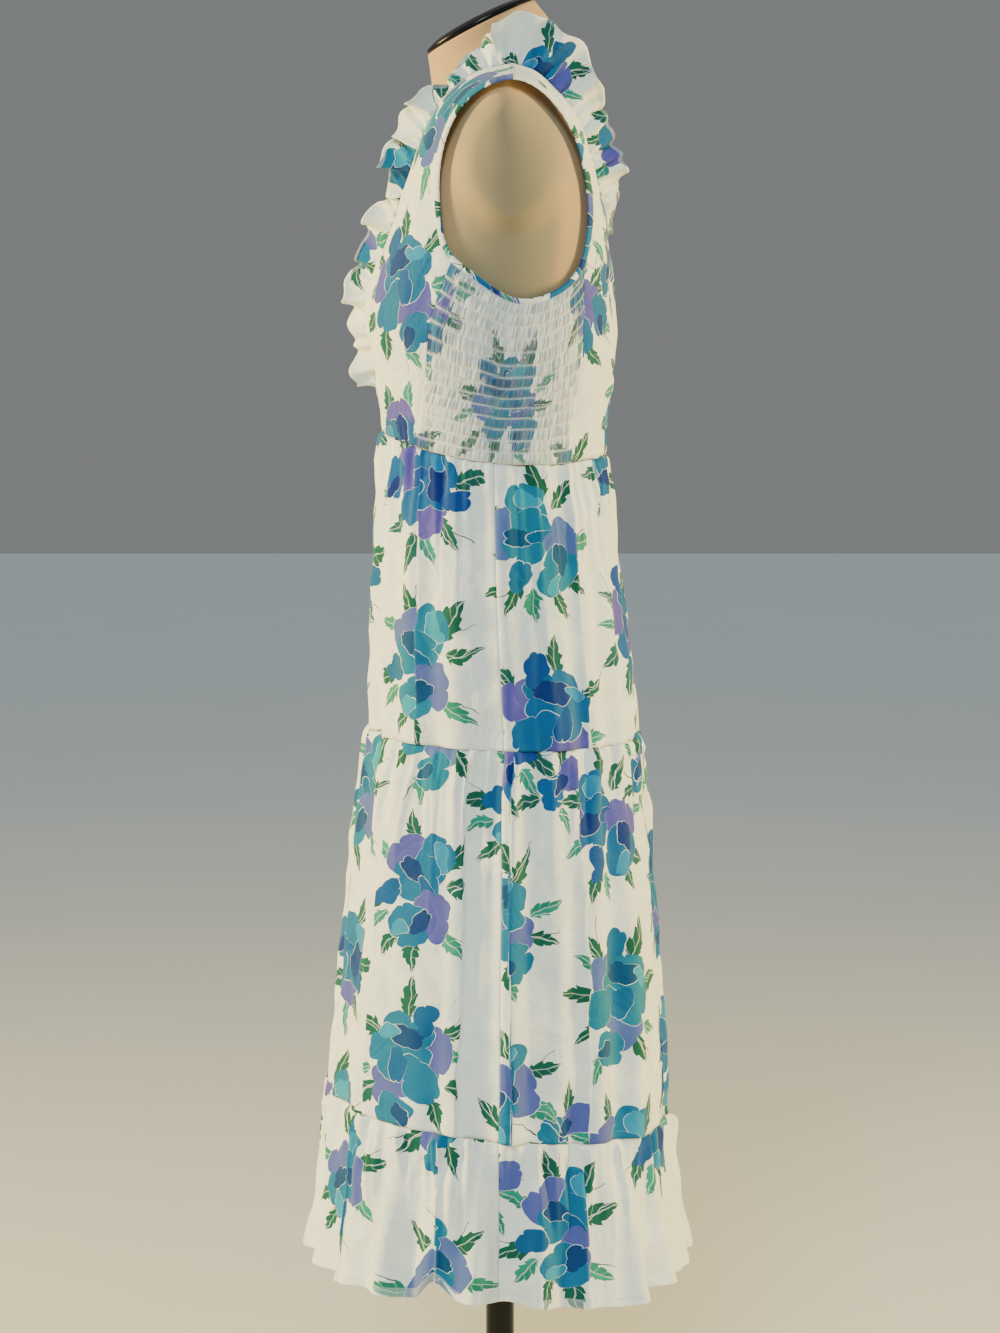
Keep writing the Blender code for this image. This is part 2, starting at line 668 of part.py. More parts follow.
def neck_path(front_end):
    """Neckline from centre back over the shoulder and down the front to t = front_end of its edge.

    It runs straight between the panels' rows. Gives its frames by length and the shoulder's place.
    """
    rows = LOWER_ROWS + UPPER_ROWS
    back_edge = edge_curve(BACK_EDGE, UPPER_ROWS, back=True)
    front_edge = edge_curve(FRONT_EDGE, rows, waist_angle=WRAP_END_ANGLE)
    places = [back_edge(i / UPPER_ROWS) for i in range(UPPER_ROWS)]
    shoulder = len(places)
    places += [front_edge(i / rows) for i in range(rows, round(front_end * rows) - 1, -1)]
    points = [bodice_point(*place) for place in places]
    normals = [normal_at(bodice_point, place.x, min(place.y, RIDGE - 0.15)) for place in places]
    reach = [0.0]
    for start, end in zip(points, points[1:]):
        reach.append(reach[-1] + (end - start).length)

    def read(values, length):
        step = next((i for i in range(len(reach) - 2) if length <= reach[i + 1]), len(reach) - 2)
        return values[step].lerp(values[step + 1], (length - reach[step]) / (reach[step + 1] - reach[step]))

    def frame(t):
        """The directions are eased over the path on both sides, so that the strip fans out evenly."""
        length = RUFFLE_START + t * (reach[-1] - RUFFLE_START)
        before, after = max(length - RUFFLE_EASE, 0), min(length + RUFFLE_EASE, reach[-1])
        tangent = read(points, after) - read(points, before)
        outward = read(normals, before) + read(normals, length) + read(normals, after)
        into = tangent.cross(outward).normalized()
        return Frame(read(points, length), into.cross(tangent).normalized(), into)

    length = reach[-1] - RUFFLE_START
    return frame, length, (reach[shoulder] - RUFFLE_START) / length


def ruffle_dip(point):
    """Share of the ruffle's width that is lost in its low folds down the front."""
    if point.y > 0:
        return 0.0
    return sum(dip.depth * math.exp(-((point.z - dip.z) / dip.half_height) ** 2) for dip in RUFFLE_DIPS)


def neck_ruffle(name, front_end, end_taper, cloth):
    """Gathered strip that stands up over the shoulder and leans out elsewhere, in uneven waves."""
    frame, length, shoulder = neck_path(front_end)
    waves = round(length / RUFFLE_WAVE_LENGTH)
    columns = waves * RUFFLE_SAMPLES_PER_WAVE
    outer = [[] for _ in RUFFLE_STEPS]
    inner = [[] for _ in RUFFLE_STEPS]
    for c in range(columns + 1):
        t = c / columns
        place = frame(t)
        past_shoulder = (t - shoulder) * length + RUFFLE_SHOULDER_SHIFT
        near = math.exp(-(past_shoulder / RUFFLE_SHOULDER_REACH) ** 2)
        taper = ease(min(t * length / RUFFLE_BACK_TAPER, (1 - t) * length / end_taper))
        width = RUFFLE_WIDTH + (RUFFLE_SHOULDER_WIDTH - RUFFLE_WIDTH) * near
        width *= 1 - ruffle_dip(place.point)
        width = RUFFLE_END + (width - RUFFLE_END) * taper
        lean = RUFFLE_LEAN + (RUFFLE_SHOULDER_LEAN - RUFFLE_LEAN) * near
        uneven = 0.7 * math.sin(3.1 * t * math.pi) + 0.3 * math.sin(7.3 * t * math.pi)
        wave = math.cos(2 * math.pi * waves * t + uneven) * (1 + 0.2 * math.sin(11 * t * math.pi))
        along = place.into * math.cos(lean) + place.outward * math.sin(lean)
        across = place.outward * math.cos(lean) - place.into * math.sin(lean)
        root = place.point + place.into * (SEAM_GAP + WALL / 2) - place.outward * WALL / 2
        for index, step in enumerate(RUFFLE_STEPS):
            swing = RUFFLE_SWING * taper * wave * step ** 1.3
            point = root + along * (width * step + WALL / 2) + across * swing
            outer[index].append(point + across * WALL / 2)
            inner[index].append(point - across * WALL / 2)
    return wall_solid(name, outer, inner, cloth)


def make_ruffles(cloth):
    neck_ruffle("neck_ruffle_left", LEFT_RUFFLE_END, RUFFLE_WAIST_TAPER, cloth)
    source = neck_ruffle("neck_ruffle_source", RIGHT_RUFFLE_END, RUFFLE_UNDERLAP_TAPER, cloth)
    mirrored(source, "neck_ruffle_right")
    bpy.data.objects.remove(source)


def arm_plate_reach(point):
    """How far the form bulges outward at a point inside the armhole."""
    across = (point.y - ARM_PLATE_Y) / ARM_PLATE_HALF_Y
    up = (point.z - ARM_PLATE_Z) / ARM_PLATE_HALF_Z
    return ARM_PLATE_REACH * ease((1 - math.hypot(across, up)) / ARM_PLATE_EDGE_SHARE)


def tube_solid(name, rings, material):
    """Solid through closed rings of points, with flat ends."""
    work = bmesh.new()
    rows = [[work.verts.new(point) for point in ring] for ring in rings]
    count = len(rows[0])
    for low, high in zip(rows, rows[1:]):
        for i in range(count):
            n = (i + 1) % count
            work.faces.new((low[i], low[n], high[n], high[i]))
    work.faces.new(rows[0])
    work.faces.new(rows[-1])
    return add_object(name, work, material)


def make_form(skin, black):
    """Padded torso with arm plates and a neck, and the domed cap on the neck's slanted cut."""
    rings = []
    for r in range(FORM_ROWS + 1):
        level = r / FORM_ROWS * (len(FORM) - 1)
        ring = []
        for c in range(FORM_COLUMNS):
            point = ring_point(FORM, 2 * math.pi * c / FORM_COLUMNS, level)
            if abs(point.x) > ARM_PLATE_INNER_X:
                point.x += math.copysign(arm_plate_reach(point), point.x)
            ring.append(point)
        rings.append(ring)
    tube_solid("form_torso", rings, skin)

    cut = FORM[-1]
    middle = Vector((0, (cut.front_y + cut.back_y) / 2, cut.side_z))
    slant = Vector((0, cut.back_y - cut.front_y, cut.back_z - cut.front_z)).normalized()
    upward = Vector((1, 0, 0)).cross(slant)
    rim = [ring_point(FORM, 2 * math.pi * c / CAP_COLUMNS, len(FORM) - 1) for c in range(CAP_COLUMNS)]
    cap_rings = []
    for step in CAP_STEPS:
        raised = middle + upward * (step.height + SEAM_GAP)
        cap_rings.append([raised + (point - middle) * step.spread for point in rim])
    tube_solid("neck_cap", cap_rings, black)


def turned(profile, segments):
    """Rings of a turned piece from its radius and height at each step."""
    return [[Vector((radius * math.sin(2 * math.pi * i / segments),
                     -radius * math.cos(2 * math.pi * i / segments), height)) for i in range(segments)]
            for radius, height in profile]


def make_stand(black):
    base = (
        (BASE_RADIUS - RIM_EASE, 0.0),
        (BASE_RADIUS, RIM_EASE),
        (BASE_RADIUS, BASE_THICKNESS - RIM_EASE),
        (BASE_RADIUS - RIM_EASE, BASE_THICKNESS),
        (HUB_RADIUS + 0.012, BASE_CROWN),
        (HUB_RADIUS, BASE_CROWN + 0.010),
        (HUB_RADIUS, HUB_HEIGHT - RIM_EASE),
        (HUB_RADIUS - RIM_EASE, HUB_HEIGHT),
    )
    tube_solid("stand_base", turned(base, BASE_SEGMENTS), black)
    pole = ((POLE_RADIUS, HUB_HEIGHT + SEAM_GAP), (POLE_RADIUS, FORM_BOTTOM - SEAM_GAP))
    tube_solid("stand_pole", turned(pole, POLE_SEGMENTS), black)


def main():
    for old in list(bpy.data.objects):
        bpy.data.objects.remove(old, do_unlink=True)
    cloth = make_material("printed_cotton", (0.62, 0.72, 0.76), 0.85)
    skin = make_material("form_cloth", (0.46, 0.38, 0.27), 0.9)
    black = make_material("black_enamel", (0.012, 0.012, 0.013), 0.25)
    make_bodice(cloth)
    make_ruffles(cloth)
    make_skirt(cloth)
    make_form(skin, black)
    make_stand(black)


main()
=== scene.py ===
import math
from collections import namedtuple

import bmesh
import bpy
import numpy as np
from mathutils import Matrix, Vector


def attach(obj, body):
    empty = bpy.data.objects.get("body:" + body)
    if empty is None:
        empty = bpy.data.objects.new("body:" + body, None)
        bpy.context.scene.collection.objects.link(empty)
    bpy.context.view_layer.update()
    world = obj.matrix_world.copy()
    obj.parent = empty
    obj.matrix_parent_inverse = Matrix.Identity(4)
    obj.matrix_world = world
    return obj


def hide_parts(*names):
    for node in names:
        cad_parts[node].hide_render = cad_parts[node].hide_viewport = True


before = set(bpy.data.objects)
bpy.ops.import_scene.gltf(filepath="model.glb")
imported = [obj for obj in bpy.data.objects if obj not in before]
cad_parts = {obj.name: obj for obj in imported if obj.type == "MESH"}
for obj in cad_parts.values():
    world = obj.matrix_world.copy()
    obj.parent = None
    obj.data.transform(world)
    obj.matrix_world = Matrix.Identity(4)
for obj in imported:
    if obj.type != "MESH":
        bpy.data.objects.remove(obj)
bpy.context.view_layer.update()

# Ring tables: front, side and back height, front and back y, half width, squareness
BODICE = (
    (1.129, 1.102, 1.106, -0.1170, 0.1050, 0.122, 0.05),
    (1.163, 1.146, 1.150, -0.1205, 0.1080, 0.129, 0.06),
    (1.195, 1.185, 1.190, -0.1250, 0.1140, 0.139, 0.07),
    (1.238, 1.234, 1.235, -0.1320, 0.1152, 0.150, 0.08),
    (1.284, 1.278, 1.280, -0.1245, 0.1125, 0.155, 0.10),
    (1.332, 1.322, 1.326, -0.1070, 0.1065, 0.155, 0.13),
    (1.380, 1.368, 1.376, -0.0910, 0.0965, 0.153, 0.16),
    (1.424, 1.408, 1.420, -0.0775, 0.0850, 0.152, 0.18),
    (1.457, 1.436, 1.455, -0.0590, 0.0665, 0.158, 0.14),
    (1.482, 1.452, 1.481, -0.0280, 0.0415, 0.167, 0.06),
    (1.494, 1.454, 1.494, 0.0123, 0.0127, 0.176, 0.00),
)
RIDGE = len(BODICE) - 1
SKIRT = (
    (1.129, 1.102, 1.106, -0.1170, 0.1050, 0.122, 0.05),
    (1.070, 1.050, 1.054, -0.1215, 0.1120, 0.140, 0.05),
    (1.000, 0.985, 0.990, -0.1255, 0.1190, 0.157, 0.04),
    (0.920, 0.911, 0.912, -0.1288, 0.1290, 0.168, 0.04),
    (0.835, 0.829, 0.828, -0.1295, 0.1380, 0.173, 0.04),
    (0.790, 0.784, 0.782, -0.1385, 0.1420, 0.177, 0.04),
    (0.700, 0.693, 0.690, -0.1490, 0.1520, 0.184, 0.03),
    (0.605, 0.594, 0.588, -0.1590, 0.1600, 0.190, 0.03),
    (0.516, 0.503, 0.492, -0.1670, 0.1665, 0.194, 0.03),
    (0.469, 0.454, 0.439, -0.1700, 0.1670, 0.196, 0.03),
    (0.385, 0.377, 0.362, -0.1800, 0.1780, 0.204, 0.02),
    (0.300, 0.297, 0.284, -0.1920, 0.1895, 0.211, 0.02),
)
FORM = (
    (0.775, 0.775, 0.775, -0.0850, 0.0950, 0.128, 0.02),
    (0.792, 0.792, 0.792, -0.1040, 0.1130, 0.147, 0.02),
    (0.840, 0.840, 0.840, -0.1150, 0.1230, 0.160, 0.03),
    (0.910, 0.905, 0.905, -0.1170, 0.1190, 0.158, 0.03),
    (0.985, 0.975, 0.980, -0.1140, 0.1090, 0.146, 0.03),
    (1.055, 1.040, 1.045, -0.1100, 0.1010, 0.128, 0.04),
    (1.129, 1.102, 1.106, -0.1090, 0.0990, 0.116, 0.05),
    (1.163, 1.146, 1.150, -0.1125, 0.1020, 0.123, 0.06),
    (1.195, 1.185, 1.190, -0.1165, 0.1080, 0.133, 0.07),
    (1.238, 1.234, 1.235, -0.1235, 0.1095, 0.144, 0.08),
    (1.284, 1.278, 1.280, -0.1165, 0.1070, 0.149, 0.10),
    (1.332, 1.322, 1.326, -0.0995, 0.1010, 0.149, 0.12),
    (1.380, 1.368, 1.376, -0.0850, 0.0910, 0.148, 0.13),
    (1.416, 1.406, 1.412, -0.0730, 0.0800, 0.147, 0.08),
    (1.432, 1.440, 1.438, -0.0690, 0.0690, 0.147, -0.08),
    (1.440, 1.459, 1.450, -0.0670, 0.0660, 0.138, -0.22),
    (1.446, 1.471, 1.462, -0.0660, 0.0640, 0.113, -0.28),
    (1.453, 1.4787, 1.475, -0.0660, 0.0620, 0.084, -0.20),
    (1.468, 1.492, 1.502, -0.0670, 0.0590, 0.063, -0.04),
    (1.484, 1.508, 1.528, -0.0690, 0.0520, 0.054, 0.00),
    (1.499, 1.5255, 1.552, -0.0710, 0.0340, 0.050, 0.00),
)

# Armhole seen from the side (y, z), and the neckline's halves seen from the front (x, z)
ARMHOLE = (
    (0.0125, 1.4650), (-0.0200, 1.4540), (-0.0430, 1.4290), (-0.0555, 1.3920), (-0.0570, 1.3500),
    (-0.0490, 1.3070), (-0.0210, 1.2810), (0.0140, 1.2600), (0.0480, 1.2650), (0.0740, 1.2880),
    (0.0840, 1.3300), (0.0815, 1.3750), (0.0690, 1.4180), (0.0430, 1.4520),
)
ARMHOLE_CENTRE = (0.0135, 1.3620)
FRONT_EDGE = (
    (0.0850, 1.4840), (0.0810, 1.4660), (0.0740, 1.4370), (0.0540, 1.3950), (0.0240, 1.3600),
    (0.0040, 1.3360), (-0.0130, 1.3030), (-0.0260, 1.2610), (-0.0360, 1.2150), (-0.0460, 1.1650),
)
BACK_EDGE = (
    (0.0850, 1.4840), (0.0810, 1.4640), (0.0730, 1.4350), (0.0560, 1.4000), (0.0340, 1.3600),
    (0.0000, 1.3120),
)
SIDE_FRONT_ANGLE = math.radians(47.5)
SIDE_BACK_ANGLE = math.radians(131.0)
WRAP_END_ANGLE = math.radians(-29.0)
ARMHOLE_FRONT_CORNER = 5.3
ARMHOLE_BACK_CORNER = 9.2
LOWER_ROWS = 7
UPPER_ROWS = 10
BINDING_WIDTH = 0.005
UNDERLAP_DEPTH = 0.0032
WALL = 0.0015
SEAM_GAP = 0.0003

Tier = namedtuple("Tier", "name top bottom waves phase top_depth bottom_depth columns rows")
TIERS = (
    Tier("skirt_top_tier", 0, 4, 20, 0.4, 0.0012, 0.0026, 270, 72),
    Tier("skirt_middle_tier", 4, 9, 20, 2.1, 0.0010, 0.0042, 270, 84),
    Tier("skirt_flounce", 9, 11, 21, 3.7, 0.0014, 0.0085, 270, 66),
)
# Tier, angle and half width in degrees, depth, start and end down the tier
FOLDS = (
    (0, 46, 9, 0.0050, 0.15, 1.20), (0, 86, 8, -0.0030, 0.00, 1.20), (0, 150, 14, 0.0040, 0.20, 1.20),
    (0, 214, 12, -0.0040, 0.10, 1.20), (0, 268, 10, 0.0035, 0.00, 1.20), (0, 318, 10, 0.0045, 0.20, 1.20),
    (1, 42, 8, 0.0070, 0.05, 1.20), (1, 78, 7, -0.0060, 0.00, 1.20), (1, 93, 7, 0.0050, 0.00, 1.20),
    (1, 108, 8, -0.0050, 0.30, 1.20), (1, 146, 14, 0.0060, 0.20, 1.20), (1, 196, 11, -0.0060, 0.10, 1.20),
    (1, 236, 12, 0.0060, 0.25, 1.20), (1, 292, 10, -0.0060, 0.10, 1.20), (1, 336, 11, 0.0060, 0.20, 1.20),
    (2, 46, 9, 0.0090, 0.00, 1.20), (2, 66, 6, -0.0090, 0.10, 1.20), (2, 76, 6, 0.0090, 0.10, 1.20),
    (2, 132, 12, 0.0080, 0.10, 1.20), (2, 172, 10, -0.0070, 0.20, 1.20), (2, 222, 12, 0.0080, 0.10, 1.20),
    (2, 281, 11, -0.0090, 0.10, 1.20), (2, 346, 8, 0.0090, -0.50, 0.62),
)

# Wall of the cloth shells, and a hem's width
CLOTH = 0.0007
HEM_WIDTH = 0.009


def smooth_rows(table, place):
    """Rows of a table at fractional places, eased between them and straight past the ends."""
    table = np.asarray(table, float)
    place = np.asarray(place, float)
    step = np.clip(np.floor(place), 0, len(table) - 2).astype(int)
    rows = np.vstack([2 * table[0] - table[1], table, 2 * table[-1] - table[-2]])
    a, b, c, d = (rows[step + k] for k in range(4))
    f = (place - step)[..., None]
    return b + 0.5 * f * (c - a + f * (2 * a - 5 * b + 4 * c - d + f * (3 * (b - c) + d - a)))


def ring_point(table, angle, level):
    """Points of a ring table's surface."""
    angle, level = np.broadcast_arrays(np.asarray(angle, float), np.asarray(level, float))
    front_z, side_z, back_z, front_y, back_y, half_width, square = np.moveaxis(
        smooth_rows(table, level), -1, 0)
    sine, cosine = np.sin(angle), np.cos(angle)
    mean_z = (front_z + back_z) / 2
    return np.stack([
        half_width * sine * (1 + square * cosine ** 2),
        (front_y + back_y) / 2 - (back_y - front_y) / 2 * cosine * (1 + square * sine ** 2),
        side_z + (front_z - back_z) / 2 * cosine + (mean_z - side_z) * cosine ** 2,
    ], -1)


def unit(vectors):
    return vectors / np.maximum(np.linalg.norm(vectors, axis=-1, keepdims=True), 1e-12)


def ring_normal(table, angle, level, step=1e-3):
    across = ring_point(table, angle + step, level) - ring_point(table, angle - step, level)
    upward = ring_point(table, angle, level + step) - ring_point(table, angle, level - step)
    return unit(np.cross(across, upward))


def grid_normal(points):
    """Outward directions of a grid whose columns run to the wearer's left and whose rows run up."""
    return unit(np.cross(np.gradient(points, axis=1), np.gradient(points, axis=0)))


def ease(f):
    f = np.clip(f, 0.0, 1.0)
    return f * f * (3 - 2 * f)


def halve(function, low, high, like, rounds=26):
    """Places between low and high where a rising function passes zero."""
    low, high = np.full(like.shape, float(low)), np.full(like.shape, float(high))
    for _ in range(rounds):
        middle = (low + high) / 2
        below = function(middle) < 0
        low, high = np.where(below, middle, low), np.where(below, high, middle)
    return (low + high) / 2


def place_from_side(y, z):
    """Angles and levels of the left bodice's points that are seen at y, z from the side."""
    def angle_on(level):
        return halve(lambda angle: ring_point(BODICE, angle, level)[..., 1] - y, 0, math.pi, y)

    level = halve(lambda level: ring_point(BODICE, angle_on(level), level)[..., 2] - z, 0, RIDGE, y)
    angle = angle_on(level)
    on_ridge = (y >= BODICE[RIDGE][3]) & (y <= BODICE[RIDGE][4]) & (z > ARMHOLE_CENTRE[1])
    ridge_angle = halve(lambda angle: z - ring_point(BODICE, angle, RIDGE)[..., 2], 0, math.pi / 2, y)
    return np.stack([np.where(on_ridge, ridge_angle, angle), np.where(on_ridge, RIDGE, level)], -1)


def place_from_front(x, z, back=False):
    """Angles and levels of the bodice's points that are seen at x, z from the front or back."""
    def angle_on(level):
        angle = halve(lambda angle: ring_point(BODICE, angle, level)[..., 0] - x,
                      -math.pi / 2, math.pi / 2, x)
        return math.pi - angle if back else angle

    level = halve(lambda level: ring_point(BODICE, angle_on(level), level)[..., 2] - z, 0, RIDGE, x)
    return np.stack([angle_on(level), level], -1)


def armhole_outline(place, outset=0.0):
    """Angles and levels on the armhole outline, by places along its table."""
    place = np.asarray(place, float)
    table = np.array([ARMHOLE[i % len(ARMHOLE)] for i in range(-1, len(ARMHOLE) + 3)])
    spot = smooth_rows(table, place + 1)
    away = spot - ARMHOLE_CENTRE
    away = away * (1 + outset / np.linalg.norm(away, axis=-1, keepdims=True))
    spot = away + ARMHOLE_CENTRE
    return place_from_side(spot[..., 0], spot[..., 1])


def neckline(table, t, back=False, waist_angle=None):
    """Angles and levels on a neckline edge: t = 0 at its lowest row or the waist, 1 at the shoulder."""
    table = np.array(table)
    places = place_from_front(table[:, 0], table[:, 1], back)
    places[0, 1] = RIDGE
    if waist_angle is not None:
        places = np.vstack([places, [waist_angle, 0]])
    places = places[::-1]
    return smooth_rows(places, t * (len(places) - 1))


def side_edge(t, corner_place, waist_angle, shoulder_place):
    """Outer edge of a front or back panel: up the side panel's seam, then along the armhole."""
    rows = LOWER_ROWS + UPPER_ROWS
    way = (t * rows - LOWER_ROWS) / UPPER_ROWS
    corner = armhole_outline(np.array([corner_place]), BINDING_WIDTH)[0]
    waist = np.array([waist_angle, 0.0])
    low = waist + (corner - waist) * (1 + way * UPPER_ROWS / LOWER_ROWS)[:, None]
    high = armhole_outline(corner_place + (shoulder_place - corner_place) * np.clip(way, 0, 1),
                           BINDING_WIDTH)
    if shoulder_place:
        high[-1, 0] = math.pi - high[-1, 0]
    return np.where((way <= 0)[:, None], low, high)


def drift(cloth, size, seed):
    """Smooth uneven value, mostly from -1 to 1, over cloth places, with lumps of about this size."""
    draw = np.random.RandomState(seed)
    total = 0.0
    for _ in range(10):
        turn, phase = draw.uniform(0, 2 * math.pi, 2)
        wave = size * draw.uniform(0.7, 1.6)
        total = total + np.sin(2 * math.pi * (cloth[..., 0] * math.cos(turn)
                                              + cloth[..., 1] * math.sin(turn)) / wave + phase)
    return total / 4.5


def crumple(cloth, seed):
    """Height of the small soft creases that worn cotton has."""
    bent = cloth + 0.02 * np.stack([drift(cloth, 0.09, seed + 1), drift(cloth, 0.08, seed + 2)], -1)
    ridges = 1 - np.abs(drift(bent * (1.5, 0.6), 0.075, seed + 3))
    return 0.0006 * drift(cloth, 0.055, seed) + 0.0009 * np.clip(ridges - 0.55, 0, 1) * \
        (0.6 + 0.4 * drift(cloth, 0.12, seed + 4))


def ripple(angle, count, seed):
    """About count uneven waves round the body, from -1 to 1, that close on themselves."""
    draw = np.random.RandomState(seed)
    swing, size = 0.0, 1.0
    for k in range(1, 12):
        swing = swing + draw.uniform(0.3, 1.0) * np.sin(k * angle + draw.uniform(0, 2 * math.pi))
        size = size + 0.12 * np.sin((k + 4) * angle + draw.uniform(0, 2 * math.pi))
    return size * np.cos(count * angle + 1.2 * swing)


def pleats(turn, drop, count, depth, length, seed):
    """Narrow creases that run down from a gathered seam, each with its own place, depth and length."""
    draw = np.random.RandomState(seed)
    total = 0.0
    for _ in range(count):
        centre, slope = draw.uniform(0, 180), draw.normal(0, 14)
        width, rise = draw.uniform(0.6, 1.8), depth * draw.uniform(0.4, 1.3) * draw.choice((-1, 1, 1))
        end = length * draw.uniform(0.25, 1.0) ** 1.5 + 0.02
        apart = np.abs(turn - centre - slope * drop + 0.6 * np.sin(drop * 40 + centre))
        fade = ease(drop / 0.006) * ease((end - drop) / (0.7 * end))
        total = total + rise * fade * np.exp(-(apart / width) ** 1.4)
    return total


def reach_along(points):
    """Length along a line of points, from the first one to each."""
    return np.concatenate([[0], np.cumsum(np.linalg.norm(np.diff(points, axis=0), axis=1))])


def girth(table, level, angle):
    """Length round a ring from the wearer's left side."""
    turn = np.linspace(-math.pi, 3 * math.pi, 1441)
    reach = reach_along(ring_point(table, turn, np.full(turn.shape, float(level))))
    return np.interp(angle, turn, reach - np.interp(math.pi / 2, turn, reach))


def climb(table, angle, level):
    """Length up a ring table's surface from its first row, at one angle."""
    steps = np.linspace(0, len(table) - 1, 241)
    reach = reach_along(ring_point(table, np.full(steps.shape, float(angle)), steps))
    return np.interp(level, steps, reach)


# Sheets of cloth

def grid_corners(rows, columns):
    """Corners of a grid's faces, by the order of its points."""
    index = np.arange(rows * columns).reshape(rows, columns)
    return np.stack([index[:-1, :-1], index[:-1, 1:], index[1:, 1:], index[1:, :-1]], -1).reshape(-1, 4)


def sheet_mesh(name, points, cloth, marks=None, closed=False):
    """Mesh of a grid of points with its cloth places as UVs and its marks as attributes."""
    rows, columns = points.shape[:2]
    spots = grid_corners(rows, columns + closed)
    corners = spots
    if closed:
        corners = spots // (columns + 1) * columns + spots % (columns + 1) % columns
    mesh = bpy.data.meshes.new(name)
    mesh.from_pydata(points.reshape(-1, 3).tolist(), [], corners.tolist())
    uv = mesh.uv_layers.new(name="cloth")
    uv.data.foreach_set("uv", cloth.reshape(-1, 2)[spots.reshape(-1)].ravel())
    for mark, values in (marks or {}).items():
        layer = mesh.attributes.new(mark, "FLOAT", "POINT")
        layer.data.foreach_set("value", np.ascontiguousarray(values, float).ravel())
    mesh.polygons.foreach_set("use_smooth", [True] * len(mesh.polygons))
    mesh.update()
    return mesh


def add_piece(name, mesh, *materials):
    piece = bpy.data.objects.new(name, mesh)
    bpy.context.scene.collection.objects.link(piece)
    for material in materials:
        piece.data.materials.append(material)
    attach(piece, "root")
    return piece


def give_wall(piece):
    """The grid is the right side of the cloth, and its wrong side lies inward."""
    wall = piece.modifiers.new("cloth wall", "SOLIDIFY")
    wall.thickness = CLOTH
    wall.offset = -1
    wall.use_even_offset = False
    wall.material_offset = 1
    wall.material_offset_rim = 0


def finish_sheet(node, mesh):
    """The cloth piece that stands for a node, with its wall and finish; the node's own part is hidden."""
    piece = add_piece(f"{node}_cloth", mesh, printed, printed_inside)
    give_wall(piece)
    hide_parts(node)


def cloth_piece(node, points, cloth, marks=None, closed=False, area=None):
    marks = {"hem": np.ones(points.shape[:2]), **(marks or {})}
    mesh = sheet_mesh(f"{node}_cloth", points, cloth, marks, closed)
    finish_sheet(node, mesh)


def other_side(points, cloth, marks):
    """A sheet's grid on the wearer's other side, with its columns in the outward order again."""
    marks = {key: value[:, ::-1] for key, value in marks.items()}
    return (points * (-1, 1, 1))[:, ::-1], cloth[:, ::-1], marks


# Skirt

def gathers(angle, tier):
    swing = 1.1 * np.sin(2 * angle + tier.phase) + 0.7 * np.sin(5 * angle + 2 * tier.phase)
    size = 1 + 0.30 * np.sin(3 * angle + tier.phase) + 0.20 * np.sin(7 * angle - tier.phase)
    return size * np.cos(tier.waves * angle + swing)


def fold_height(number, angle, way):
    total = 0.0
    for tier, centre, half_width, depth, start, end in FOLDS:
        if tier != number:
            continue
        apart = np.degrees(angle) - centre
        apart = np.abs((apart + 180) % 360 - 180) / half_width
        rise = ease((way - start) / 0.35) * ease((end - way) / 0.12)
        total = total + np.where(apart < 1, depth * rise * np.cos(np.minimum(apart, 1) * math.pi / 2) ** 2, 0)
    return total


# Sharp folds with cloth tucked under: tier, angle in degrees, tucked width, height, side of the step
TUCKS = (
    (0, 53, 0.010, 0.0016, 1), (0, 128, 0.012, 0.0016, -1), (0, 236, 0.012, 0.0016, 1),
    (0, 300, 0.010, 0.0018, -1),
    (1, 40.5, 0.030, 0.0030, 1), (1, 76.5, 0.034, 0.0034, -1), (1, 93.0, 0.040, 0.0030, 1),
    (1, 121, 0.016, 0.0020, -1), (1, 168, 0.026, 0.0028, 1), (1, 219, 0.030, 0.0030, -1),
    (1, 262, 0.030, 0.0030, 1), (1, 318, 0.026, 0.0028, -1),
    (2, 38, 0.020, 0.0036, -1), (2, 71, 0.034, 0.0050, 1), (2, 117, 0.018, 0.0026, -1),
    (2, 190, 0.026, 0.0040, 1), (2, 250, 0.026, 0.0040, -1), (2, 310, 0.030, 0.0044, 1),
)
# Where the hem is held up by a fold: angle, half width in degrees, lift
HEM_LIFTS = (
    (71.5, 4.5, 0.020), (60, 7, -0.004), (84, 6, 0.003), (98, 7, 0.002), (52, 6, 0.001),
    (112, 8, -0.003), (128, 8, -0.006), (150, 12, 0.004), (205, 9, 0.008), (262, 9, 0.010),
    (300, 8, 0.007),
)
# Half of a tier: its start angle, its cut's width and length before gathering, and the print's shift
Half = namedtuple("Half", "side start flat shift")
FRONT_START = -math.pi / 2
BACK_START = math.pi / 2
HALVES = (
    (Half("front", FRONT_START, (0.47, 0.30), (-0.010, -0.075)),
     Half("back", BACK_START, (0.48, 0.29), (0.345, 0.060))),
    (Half("front", FRONT_START, (0.64, 0.385), (0.11, 0.06)),
     Half("back", BACK_START, (0.69, 0.39), (0.52, 0.00))),
    (Half("front", FRONT_START, (0.68, 0.175), (0.07, 0.10)),
     Half("back", BACK_START, (0.69, 0.175), (0.63, 0.05))),
)
# Share by which each tier's gathers are calmer round its side seam
CALM = (0.75, 0.35, 0.10)
# Narrow creases on each half: number, depth, length
PLEATS = ((50, 0.0018, 0.16), (54, 0.0022, 0.20), (58, 0.0038, 0.15))
# Uneven waves under a gathered seam: height and number round the body
FINE_WAVES = (0.0014, 71)
MIDDLE_WAVES = (0.0021, 43)
LONG_WAVES = (0.0017, 29)
TIER_CRUMPLE = 2.6
SEAM_DIP = 0.0006
GATHER_DIP = 0.0007
GATHER_ROLL = 0.0008
HEM_TURN = 0.0007


def wave_heights(waves, angle, seed):
    height, count = waves
    return height * ripple(angle, count, seed)


